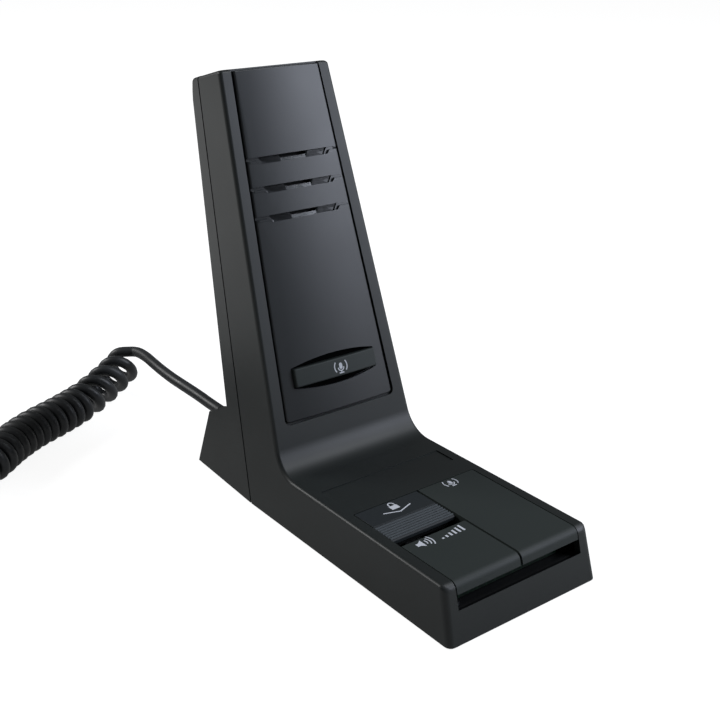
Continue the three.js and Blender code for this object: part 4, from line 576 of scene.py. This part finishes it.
def crown_vertices(vertices, lowest):
    """Moves the vertices that lie above the depth lowest out or in, as the crown has them."""
    out = on_tower(0, 0, 1) - on_tower(0, 0, 0)
    for vertex in vertices:
        x, _, n = tower_place(vertex.co)
        if n > lowest:
            vertex.co += out * crown_at(x)


def crown_shell(shell, lowest):
    """Cuts the shell into upright strips first, so that its flat faces can bend."""
    for x in STRIP_EDGES:
        everything = [*shell.verts, *shell.edges, *shell.faces]
        bmesh.ops.bisect_plane(shell, geom=everything, dist=1e-7,
                               plane_co=on_case(x, 0, 0), plane_no=(1, 0, 0))
    crown_vertices(shell.verts, lowest)


print("crown at the middle, mm:", crown_at(0))

# %% [markdown]
# Many small things are flat plates of some outline: printed signs, strips of felt, the cutters of a recess.
# One function makes them from outlines and from a function that says where a place on the drawing lies.

# %% Flat plates from outlines
def plates(name, outlines, low, high, place):
    """Closed plates between the heights low and high; each outline is a list of places on the drawing."""
    shell = bmesh.new()
    for outline in outlines:
        bottom = [shell.verts.new(place(u, v, low)) for u, v in outline]
        top = [shell.verts.new(place(u, v, high)) for u, v in outline]
        shell.faces.new(list(reversed(bottom)))
        shell.faces.new(top)
        for at in range(len(outline)):
            after = (at + 1) % len(outline)
            shell.faces.new([bottom[at], bottom[after], top[after], top[at]])
    bmesh.ops.recalc_face_normals(shell, faces=shell.faces)
    mesh = bpy.data.meshes.new(name)
    shell.to_mesh(mesh)
    shell.free()
    return mesh


# %% [markdown]
# Moulded parts have no knife edges: the tool's corners are rounded by a few tenths of a millimetre, and it
# is those thin roundings that catch the light round every panel. The CAD meshes are sharp there, so each
# outer part gets a finished copy: its doubled corners are merged, flat faces are joined, its edges are
# bevelled, and the normals are weighted by area, which keeps the flat faces flat.

# %% Helpers to finish a moulded part
MERGE_MM, FLAT_ANGLE = 0.004, math.radians(0.4)
SHARP_ANGLE, ROUNDING_STEPS, AREA_WEIGHT = math.radians(30), 2, 60


def cut_away(mesh, cutter_mesh):
    """Takes the cutter's shape out of the mesh."""
    cutter = bpy.data.objects.new("cutter", cutter_mesh)
    bpy.context.scene.collection.objects.link(cutter)

    def add_cut(carrier):
        cut = carrier.modifiers.new("cut", "BOOLEAN")
        cut.operation = "DIFFERENCE"
        cut.solver = "EXACT"
        cut.object = cutter

    baked = run_modifiers(mesh, add_cut)
    bpy.data.objects.remove(cutter)
    return baked


def reshaped(mesh, change):
    shell = bmesh.new()
    shell.from_mesh(mesh)
    change(shell)
    shell.to_mesh(mesh)
    shell.free()
    return mesh


def merge_corners(shell):
    bmesh.ops.remove_doubles(shell, verts=shell.verts, dist=MERGE_MM * MM)
    bmesh.ops.dissolve_limit(shell, angle_limit=FLAT_ANGLE, verts=shell.verts, edges=shell.edges)


def merged_copy(node):
    return reshaped(frame["nodes"][node].data.copy(), merge_corners)


def round_edges(mesh, width_mm):
    mesh.polygons.foreach_set("use_smooth", [True] * len(mesh.polygons))

    def add_rounding(carrier):
        bevel = carrier.modifiers.new("moulded_edge", "BEVEL")
        bevel.width = width_mm * MM
        bevel.segments = ROUNDING_STEPS
        bevel.limit_method = "ANGLE"
        bevel.angle_limit = SHARP_ANGLE
        weighted = carrier.modifiers.new("flat_faces", "WEIGHTED_NORMAL")
        weighted.keep_sharp = True
        weighted.weight = AREA_WEIGHT

    return run_modifiers(mesh, add_rounding)


bodies_of = {node: body for body, nodes in frame["record"]["behaviour"]["bodies"].items()
             for node in nodes}


def finished_copy(node, mesh, width_mm, material=None):
    """The finished moulding that takes the place of a CAD node."""
    slot = node_slots[node]
    material = material or SLOT_MATERIALS[slot]
    piece = piece_from(node + "_moulding", round_edges(mesh, width_mm), material, bodies_of[node])
    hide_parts(node)
    print(piece.name, "faces:", len(piece.data.polygons))


# %% [markdown]
# The two halves of the shell meet in a plane that leans with the tower. On the real one the joint is a
# plain dark line, wider than the bare play between the halves, so both rims draw back from it a little,
# and a low tongue behind it keeps light from showing through the empty case. The wall below the keys'
# front gap falls off inwards, so that the gap reads as one black slit.

# %% The shell's two halves
SEAM_FOOT_Y, SEAM_RISE = 127.3, 48.4 / 170.5
SEAM_DRAW_BACK = 0.22
SEAM_REACH = 0.35
RIM_PLAY, RIM_REACH = 0.2, 0.12
TONGUE_INSET, TONGUE_RISE = 0.6, 0.7
LIP_Y, LIP_Z, LIP_FALL = 6.0, 12, 2.6
LIP_REACH_Y, LIP_REACH_Z = 0.4, 0.3
FACES_BACK = 0.9


def behind_seam(spot):
    """How far a place on the case lies behind the plane between its halves."""
    return spot.y - SEAM_FOOT_Y - SEAM_RISE * spot.z


def draw_back(shell):
    for vertex in shell.verts:
        spot = vertex.co / MM - CASE_CORNER
        if abs(spot.y - LIP_Y) < LIP_REACH_Y and abs(spot.z - LIP_Z) < LIP_REACH_Z:
            vertex.co.z -= LIP_FALL * MM
        behind = behind_seam(spot)
        if abs(behind) < SEAM_REACH:
            vertex.co.y += math.copysign(SEAM_DRAW_BACK, behind) * MM


def seam_tongue(shell):
    """A low tongue on the front half's rim, set in from both faces, which closes the joint to light."""
    draw_back(shell)
    shell.normal_update()
    rim = [face for face in shell.faces if face.normal.y > FACES_BACK and all(
        abs(behind_seam(vertex.co / MM - CASE_CORNER) + RIM_PLAY + SEAM_DRAW_BACK) < RIM_REACH
        for vertex in face.verts)]
    for inset in (TONGUE_INSET, 0):
        bmesh.ops.inset_region(shell, faces=rim, thickness=inset * MM, use_even_offset=True)
    for vertex in {vertex for face in rim for vertex in face.verts}:
        vertex.co.y += TONGUE_RISE * MM
    print("rim faces:", len(rim))


CASE_ROUNDING = 0.16
finished_copy("front_housing", reshaped(merged_copy("front_housing"), seam_tongue), CASE_ROUNDING)
finished_copy("rear_cover", reshaped(merged_copy("rear_cover"), draw_back), CASE_ROUNDING)

# %% [markdown]
# Beside each sound slot the panel's lower plate ends in a sunk ledge, which runs level from the panel's
# edge and then down the slot's slanted end. Six plates cut the ledges out of the copy, three more clear the
# slots down to where their floors will lie, and then the crown bends the whole face.

# %% The front panel
SLOT_ALONG = [127.6, 115.8, 104.0]
SLOT_HALF, SLOT_FOOT_HALF, SLOT_DROP = 17.2, 15.0, 2.8
LEDGE_WIDTH, LEDGE_LEVEL, LEDGE_SINK = 1.7, 1.05, 0.85
RECESS_SINK, RECESS_AIR = 1.7, 0.05
PANEL_FACE = 1.0

END_SLOPE = (SLOT_HALF - SLOT_FOOT_HALF) / SLOT_DROP
LEDGE_REACH, LEDGE_OVERLAP = 26, 0.4
CUT_ABOVE = 2

# One ledge from the panel's edge inwards, as places x and below the slot's top edge
ledge_turn = SLOT_FOOT_HALF + LEDGE_WIDTH + (SLOT_DROP - LEDGE_LEVEL) * END_SLOPE
ledge = [
    (LEDGE_REACH, 0.0), (SLOT_HALF - LEDGE_OVERLAP, 0.0), (SLOT_FOOT_HALF - LEDGE_OVERLAP, -SLOT_DROP),
    (SLOT_FOOT_HALF + LEDGE_WIDTH, -SLOT_DROP), (ledge_turn, -LEDGE_LEVEL), (LEDGE_REACH, -LEDGE_LEVEL),
]
recess = [
    (-SLOT_HALF - RECESS_AIR, RECESS_AIR), (-SLOT_FOOT_HALF - RECESS_AIR, -SLOT_DROP - RECESS_AIR),
    (SLOT_FOOT_HALF + RECESS_AIR, -SLOT_DROP - RECESS_AIR), (SLOT_HALF + RECESS_AIR, RECESS_AIR),
]


def panel_cutter(name, shapes, sink):
    """Plates of the shapes at all three slots, from the depth sink to above the face."""
    outlines = [[(x, slot_top + a) for x, a in shape] for slot_top in SLOT_ALONG for shape in shapes]
    return plates(name, outlines, PANEL_FACE - sink, PANEL_FACE + CUT_ABOVE, on_tower)


mirrored_ledge = [(-x, a) for x, a in ledge]
ledge_cutter = panel_cutter("ledge_cutter", [mirrored_ledge, ledge], LEDGE_SINK)
recess_cutter = panel_cutter("recess_cutter", [recess], RECESS_SINK)
panel_mesh = cut_away(cut_away(merged_copy("front_panel"), ledge_cutter), recess_cutter)
panel_mesh = reshaped(panel_mesh, lambda shell: crown_shell(shell, PANEL_CROWN_FROM))
finished_copy("front_panel", panel_mesh, 0.14)

# %% [markdown]
# Each slot has a satin floor, coloured darker than the panel as painted shade, in whose middle a polished
# scoop with slanted ends runs down into the opening; the scoop is coloured paler than the panel as a painted
# highlight. The three slots are the same, so one sheet of each kind is drawn and Geometry Nodes sets it out
# along the tower: a line of points with the slots' pitch, an instance on each, all made real at the end.

# %% Slot floors and scoops
SCOOP_DROP, SCOOP_FOOT_HALF, SCOOP_HEAD_HALF, SCOOP_END = 1.3, 6.2, 7.0, 0.7
SCOOP_DEPTH, SCOOP_SPOON = 0.3, 0.03
FLOOR_DEPTH = PANEL_FACE - 1.45
FLOOR_AIR, FOOT_AIR, SHEET_MM = 0.06, 0.05, 0.04


def end_x(a):
    """Half the floor's width at the place a below the slot's top edge."""
    return SLOT_HALF + END_SLOPE * a - FLOOR_AIR


def lip_depth(x):
    """The scoop's depth along its lip, a little deeper in the middle."""
    return FLOOR_DEPTH - SCOOP_DEPTH - SCOOP_SPOON * (1 - (x / SCOOP_FOOT_HALF) ** 2)


def fix_order(shell):
    """Sorts edges and faces by their corners: solidify adds its walls in another order each run."""
    shell.verts.index_update()
    for items in (shell.edges, shell.faces):
        in_order = sorted(items, key=lambda item: sorted(vertex.index for vertex in item.verts))
        rank = {item: at for at, item in enumerate(in_order)}
        items.sort(key=rank.get)


def thin_sheet(name, faces):
    """A closed sheet of faces; each is a list of places x, along below the slot's top edge, depth."""
    shell = bmesh.new()
    corners = {}
    for face in faces:
        keys = [tuple(round(value, 4) for value in place) for place in face]
        for key, place in zip(keys, face):
            if key not in corners:
                corners[key] = shell.verts.new(on_tower(*place))
        shell.faces.new([corners[key] for key in keys])
    bmesh.ops.solidify(shell, geom=shell.faces, thickness=SHEET_MM * MM)
    fix_order(shell)
    mesh = bpy.data.meshes.new(name)
    shell.to_mesh(mesh)
    shell.free()
    return mesh


def both_sides(face):
    """A face and its mirror image on the other half of the slot, turned so that both look out."""
    return [face, [(-x, a, depth) for x, a, depth in reversed(face)]]


FOOT_A, HEAD_A = -SLOT_DROP + FOOT_AIR, -SCOOP_DROP
INNER, OUTER = SCOOP_FOOT_HALF, SCOOP_FOOT_HALF + SCOOP_END
HEAD_IN, HEAD_OUT = SCOOP_HEAD_HALF, SCOOP_HEAD_HALF + SCOOP_END
LIP_STEPS = 10
END_DEPTH = lip_depth(INNER)
floor_faces = [
    *both_sides([(INNER, FOOT_A, FLOOR_DEPTH), (end_x(FOOT_A), FOOT_A, FLOOR_DEPTH),
                 (end_x(HEAD_A), HEAD_A, FLOOR_DEPTH), (OUTER, HEAD_A, FLOOR_DEPTH)]),
    *both_sides([(OUTER, HEAD_A, FLOOR_DEPTH), (end_x(HEAD_A), HEAD_A, FLOOR_DEPTH),
                 (end_x(0), 0, FLOOR_DEPTH), (HEAD_OUT, 0, FLOOR_DEPTH)]),
]
lip_steps = [-INNER + 2 * INNER * step / LIP_STEPS for step in range(LIP_STEPS + 1)]
scoop_faces = [
    *([(left, FOOT_A, FLOOR_DEPTH), (right, FOOT_A, FLOOR_DEPTH),
       (right, HEAD_A, lip_depth(right)), (left, HEAD_A, lip_depth(left))]
      for left, right in zip(lip_steps, lip_steps[1:])),
    *both_sides([(INNER, FOOT_A, FLOOR_DEPTH), (OUTER, HEAD_A, FLOOR_DEPTH), (INNER, HEAD_A, END_DEPTH)]),
    *both_sides([(INNER, HEAD_A, END_DEPTH), (OUTER, HEAD_A, FLOOR_DEPTH),
                 (HEAD_OUT, 0, FLOOR_DEPTH), (HEAD_IN, 0, END_DEPTH)]),
]


def row_tree():
    tree, identifiers, source, target = new_tree("row_along_tower", {
        "Count": "NodeSocketInt", "Start": "NodeSocketVector", "Step": "NodeSocketVector",
        "Finish": "NodeSocketMaterial"})
    line = add_node(tree, "GeometryNodeMeshLine", links={
        "Count": source.outputs["Count"], "Start Location": source.outputs["Start"],
        "Offset": source.outputs["Step"]})
    row = add_node(tree, "GeometryNodeInstanceOnPoints",
                   links={"Points": line.outputs[0], "Instance": source.outputs["Geometry"]})
    real = add_node(tree, "GeometryNodeRealizeInstances", links={"Geometry": row.outputs[0]})
    finish = add_node(tree, "GeometryNodeSetMaterial",
                      links={"Geometry": real.outputs[0], "Material": source.outputs["Finish"]})
    tree.links.new(finish.outputs[0], target.inputs[0])
    return tree, identifiers


slot_tree, slot_inputs = row_tree()
slot_pitch = SLOT_ALONG[0] - SLOT_ALONG[1]
# The floors carry painted shade, the scoops a painted highlight.
for name, faces, finish in (
        ("slot_floors", floor_faces, slot_floor_painted_shade), ("slot_scoops", scoop_faces, slot_scoop_polish_and_painted_highlight)):
    sheets = bake_tree(thin_sheet(name, faces), slot_tree, slot_inputs, {
        "Count": len(SLOT_ALONG), "Start": on_tower(0, SLOT_ALONG[0], 0) - on_tower(0, 0, 0),
        "Step": on_tower(0, -slot_pitch, 0) - on_tower(0, 0, 0), "Finish": finish})
    sheets = reshaped(sheets, lambda shell: crown_shell(shell, ALL_CROWN_FROM))
    piece_from(name, sheets, finish, "case")
    print(name, "faces:", len(sheets.polygons))

# %% [markdown]
# The bar button stands in a barrel-shaped recess. Above and below the bar two dark crescents show, and a
# thin matt black sheet laid on the recess floor paints the shade in them. The bar's face is crowned like the
# panel.

# %% The bar button and the painted shade round it
BAR_ALONG, BAR_HEIGHT, BAR_HALF, BAR_GAP, BAR_FACE = 36.8, 7.8, 21.0, 0.4, 2.6
BARREL_RISE, BARREL_DROP, BARREL_FLOOR = 2.3, 2.2, PANEL_FACE - 2.0
SHADE_SHEET_LOW, SHADE_SHEET_HIGH, SHADE_SHEET_AIR, SHADE_SHEET_END_AIR = 0.03, 0.25, 0.05, 0.1


def crescent(edge, reach, steps=16):
    """The area between the bar's edge and the barrel's arc."""
    half = BAR_HALF + BAR_GAP - SHADE_SHEET_END_AIR
    across = [half - 2 * half * step / steps for step in range(steps + 1)]
    return [(-half, edge), (half, edge)] + [(x, edge + reach * (1 - (x / half) ** 2)) for x in across[1:-1]]


# Two matt black crescents on the recess floor: painted shade above and below the bar.
painted_shade_sheet_mesh = plates("painted_shade_sheet", [
    crescent(BAR_ALONG + BAR_HEIGHT / 2 + BAR_GAP / 2, BARREL_RISE + BAR_GAP / 2 - SHADE_SHEET_AIR),
    crescent(BAR_ALONG - BAR_HEIGHT / 2 - BAR_GAP / 2, -BARREL_DROP - BAR_GAP / 2 + SHADE_SHEET_AIR),
], BARREL_FLOOR + SHADE_SHEET_LOW, BARREL_FLOOR + SHADE_SHEET_HIGH, on_tower)
painted_shade_sheet_mesh = reshaped(painted_shade_sheet_mesh, lambda shell: crown_shell(shell, ALL_CROWN_FROM))
piece_from("bar_painted_shade_sheet", painted_shade_sheet_mesh, bar_painted_shade_sheet, "case")
bar_mesh = reshaped(merged_copy("tower_button"), lambda shell: crown_shell(shell, BAR_CROWN_FROM))
finished_copy("tower_button", bar_mesh, 0.3)

# %% [markdown]
# The keys and the slider are lids with a curved front lip. Their copies draw in at the sides, which gives
# them a little more air. The small key's rear edge is rolled over with a wide bevel before the fine one,
# and the slider's ribs are spread over its whole grip, out to its front edge.

# %% Keys and slider
KEY_DRAW_IN = 0.16
ROLL_RADIUS, ROLL_STEPS, EDGE_REACH = 1.3, 5, 0.05
CAD_GRIP_FRONT, GRIP_DEPTH = 44.0, 0.6
GRIP_SPARE_FRONT, GRIP_SPARE_REAR = 0.2, 0.01
KEY_ROUNDING, SLIDER_ROUNDING = 0.22, 0.12


def draw_in(shell):
    low = min(vertex.co.x for vertex in shell.verts)
    high = max(vertex.co.x for vertex in shell.verts)
    share = 1 - 2 * KEY_DRAW_IN * MM / (high - low)
    for vertex in shell.verts:
        vertex.co.x = (low + high) / 2 + (vertex.co.x - (low + high) / 2) * share


def roll_rear_edge(shell):
    draw_in(shell)
    rear = max(vertex.co.y for vertex in shell.verts)
    top = max(vertex.co.z for vertex in shell.verts)
    reach = EDGE_REACH * MM
    edges = [edge for edge in shell.edges
             if all(abs(v.co.y - rear) < reach and abs(v.co.z - top) < reach for v in edge.verts)]
    bmesh.ops.bevel(shell, geom=edges, offset=ROLL_RADIUS * MM, segments=ROLL_STEPS, profile=0.5,
                    affect="EDGES")
    print("rolled edges:", len(edges))


def stretch_grip(shell):
    """Spreads the ribs on the slider's top, which the CAD model ends short of its front edge."""
    draw_in(shell)
    first, last = GRIP_FRONT - GRIP_SPARE_FRONT, GRIP_REAR + GRIP_SPARE_REAR
    for vertex in shell.verts:
        spot = vertex.co / MM - CASE_CORNER
        if spot.z > BASE_TOP - GRIP_DEPTH and first < spot.y < last:
            share = (spot.y - CAD_GRIP_FRONT) / (GRIP_REAR - CAD_GRIP_FRONT)
            vertex.co.y = on_case(0, GRIP_FRONT + share * (GRIP_REAR - GRIP_FRONT), 0).y


finished_copy("ptt_key", reshaped(merged_copy("ptt_key"), draw_in), KEY_ROUNDING)
finished_copy("monitor_key", reshaped(merged_copy("monitor_key"), roll_rear_edge), KEY_ROUNDING)
finished_copy("lock_slider", reshaped(merged_copy("lock_slider"), stretch_grip), SLIDER_ROUNDING, slider_abs)

# %% [markdown]
# The signs on the keys are pad printed: a soft pad lays a film of ink on the finished part. They are plain
# pictures made of strokes and small shapes, and say what each key does: talk, listen, slide to lock.

# %% Draw the signs
STROKE, MITRE_LIMIT = 0.5, 0.4
INK_LOW, INK_HIGH = 0.01, 0.05


def ribbon(points, width=STROKE):
    """The outline of a stroke of one width along the points."""
    points = [Vector(point) for point in points]
    left, right = [], []
    for at, point in enumerate(points):
        before = (point - points[at - 1]).normalized() if at else None
        after = (points[at + 1] - point).normalized() if at + 1 < len(points) else None
        way = ((before or after) + (after or before)).normalized()
        across = Vector((-way.y, way.x))
        straight = before or after
        reach = width / 2 / max(abs(across.dot(Vector((-straight.y, straight.x)))), MITRE_LIMIT)
        left.append(tuple(point + across * reach))
        right.append(tuple(point - across * reach))
    return left + right[::-1]


def arc(x, y, radius, start, end, steps=10):
    angles = [math.radians(start + (end - start) * step / steps) for step in range(steps + 1)]
    return [(x + radius * math.cos(angle), y + radius * math.sin(angle)) for angle in angles]


def waves(x, y, radii, half_angle, way=0):
    return [ribbon(arc(x, y, radius, way - half_angle, way + half_angle)) for radius in radii]


def talk_sign():
    """A microphone on its foot, with sound going in from both sides."""
    head = arc(0, 1.05, 0.8, 0, 180, 8) + arc(0, -0.05, 0.8, 180, 360, 8)
    cradle = ribbon(arc(0, -0.05, 1.45, 180, 360), 0.45)
    stem, foot = ribbon([(0, -1.55), (0, -2.2)]), ribbon([(-1.2, -2.4), (1.2, -2.4)])
    return [head, cradle, stem, foot, *waves(0, 0.3, (3.2,), 40), *waves(0, 0.3, (3.2,), 40, 180)]


def listen_sign():
    """A loudspeaker with sound coming out, and a row of bars that rise with the volume."""
    horn = [(-11.0, -0.9), (-9.7, -0.9), (-7.9, -2.2), (-7.9, 2.2), (-9.7, 0.9), (-11.0, 0.9)]
    bars = [ribbon([(x, -2.2), (x, -1.5 + 0.31 * x)], 0.9) for x in (0.4, 2.5, 4.6, 6.7, 8.8, 10.9)]
    return [horn, *waves(-8.2, 0, (1.9, 3.3, 4.7), 38), *bars]


def lock_sign():
    """A padlock, over an arrow that points the way the slider goes."""
    body = [(-1.9, 0.6), (1.9, 0.6), (1.9, 3.2), (-1.9, 3.2)]
    shackle = ribbon([(-1.25, 3.3), (-1.25, 4.1), *arc(0, 4.1, 1.25, 180, 0, 8)[1:-1],
                      (1.25, 4.1), (1.25, 3.3)])
    arrow = ribbon([(-6.8, 0.4), (0, -1.9), (6.8, 0.4)], 0.55)
    return [body, shackle, arrow]


def print_sign(name, sign, body, place):
    mesh = plates(name, sign, INK_LOW, INK_HIGH, place)
    piece_from(name, mesh, ink_grey, body)
    print(name, "strokes:", len(sign))


def key_place(x, y, node):
    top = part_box(node)[1].z / MM - CASE_CORNER.z
    return lambda u, v, h: on_case(x + u, y + v, top + h)


def bar_place(x, along):
    face = BAR_FACE + crown_at(x)
    return lambda u, v, h: on_tower(x + u, along + v, face + h)


print_sign("talk_print", talk_sign(), bodies_of["ptt_key"], key_place(16.1, 60.6, "ptt_key"))
print_sign("listen_print", listen_sign(), bodies_of["monitor_key"], key_place(-15.2, 32.4, "monitor_key"))
print_sign("lock_print", lock_sign(), bodies_of["lock_slider"], key_place(-14.8, 57.2, "lock_slider"))
print_sign("bar_talk_print", talk_sign(), bodies_of["tower_button"], bar_place(1.5, 36.6))

# %% [markdown]
# The counter is one plain pale floor, so wide that it fills the whole picture. To the camera and through
# the clear plug it glows a little, which makes it white as in a catalogue picture, and the lamps still
# leave the object's soft shadow on it. In reflections the glow fades near the object, where its own shadow
# would lie. The room is white to the camera and dim otherwise, because black plastic shows every bright
# wall: what the eye reads as satin black is mostly the soft lamps mirrored in it, so their places matter
# most.

# %% Counter, room and lamps
FLOOR_HALF = 7.0
FLOOR_GREY, FLOOR_GLOW = 0.3, 0.92
SHADE_NEAR, SHADE_FAR, SHADE_GLOW = 0.15, 0.55, 0.28
WALL_LIGHT = 0.14


def seen_directly(tree, path):
    """1 for what the camera sees, also through clear plastic."""
    return add_node(tree, "ShaderNodeMath", {"operation": "MAXIMUM"}, {
        0: path.outputs["Is Camera Ray"], 1: path.outputs["Is Transmission Ray"]}).outputs[0]


floor_mesh = bpy.data.meshes.new("counter_top")
floor_mesh.from_pydata(
    [(-FLOOR_HALF, -FLOOR_HALF, 0), (FLOOR_HALF, -FLOOR_HALF, 0),
     (FLOOR_HALF, FLOOR_HALF, 0), (-FLOOR_HALF, FLOOR_HALF, 0)], [], [(0, 1, 2, 3)])
floor = bpy.data.objects.new("counter_top", floor_mesh)
bpy.context.scene.collection.objects.link(floor)
counter, counter_tree, counter_place = start_material("white_counter")
light_path = add_node(counter_tree, "ShaderNodeLightPath")
seen = add_node(counter_tree, "ShaderNodeMath", {"operation": "MAXIMUM"},
                {0: seen_directly(counter_tree, light_path), 1: light_path.outputs["Is Glossy Ray"]})
matt = add_node(counter_tree, "ShaderNodeBsdfDiffuse", {"Color": (FLOOR_GREY, FLOOR_GREY, FLOOR_GREY, 1)})
far = add_node(counter_tree, "ShaderNodeVectorMath", {"operation": "LENGTH"}, {0: counter_place})
open_floor = ramp(counter_tree, far.outputs["Value"], SHADE_NEAR, SHADE_FAR, SHADE_GLOW, 1.0)
strength = add_node(counter_tree, "ShaderNodeMix", {"data_type": "FLOAT", 2: FLOOR_GLOW},
                    {0: light_path.outputs["Is Glossy Ray"], 3: open_floor})
glow = add_node(counter_tree, "ShaderNodeEmission", {"Color": (1, 1, 1, 1)},
                {"Strength": strength.outputs[0]})
lifted = add_node(counter_tree, "ShaderNodeAddShader", links={0: matt.outputs[0], 1: glow.outputs[0]})
chosen = add_node(counter_tree, "ShaderNodeMixShader",
                  links={0: seen.outputs[0], 1: matt.outputs[0], 2: lifted.outputs[0]})
add_node(counter_tree, "ShaderNodeOutputMaterial", links={"Surface": chosen.outputs[0]})
floor_mesh.materials.append(counter)

room = bpy.data.worlds.new("dim_studio")
bpy.context.scene.world = room
room.use_nodes = True
room_tree = room.node_tree
room_tree.nodes.clear()
to_camera = seen_directly(room_tree, add_node(room_tree, "ShaderNodeLightPath"))
walls = add_node(room_tree, "ShaderNodeBackground", {"Color": (1, 1, 1, 1)},
                 {"Strength": ramp(room_tree, to_camera, 0.0, 1.0, WALL_LIGHT, 1.0)})
add_node(room_tree, "ShaderNodeOutputWorld", links={"Surface": walls.outputs[0]})

LAMP_AIM = Vector((0, 0, 0.08))


def soft_lamp(name, way, distance, size, brightness, tint="ffffff"):
    """A round soft lamp in the direction way from the tower; brightness is that of its own face."""
    lamp = bpy.data.lights.new(name, "AREA")
    lamp.shape = "DISK"
    lamp.size = size
    lamp.energy = brightness * math.pi * math.pi * (size / 2) ** 2
    lamp.color = colour(tint)[:3]
    holder = bpy.data.objects.new(name, lamp)
    holder.location = LAMP_AIM + Vector(way).normalized() * distance
    holder.rotation_euler = (-Vector(way)).to_track_quat("-Z", "Y").to_euler()
    bpy.context.scene.collection.objects.link(holder)


soft_lamp("key_softbox", (0.50, -0.30, 0.82), 1.5, 0.45, 13.0, "f4f9ff")
soft_lamp("front_right_softbox", (0.76, -0.60, 0.43), 1.5, 0.75, 8.6, "eaf0ff")
soft_lamp("rear_left_softbox", (-0.52, 0.70, 0.50), 1.6, 0.5, 20.0)
bpy.context.scene.view_settings.view_transform = "Standard"
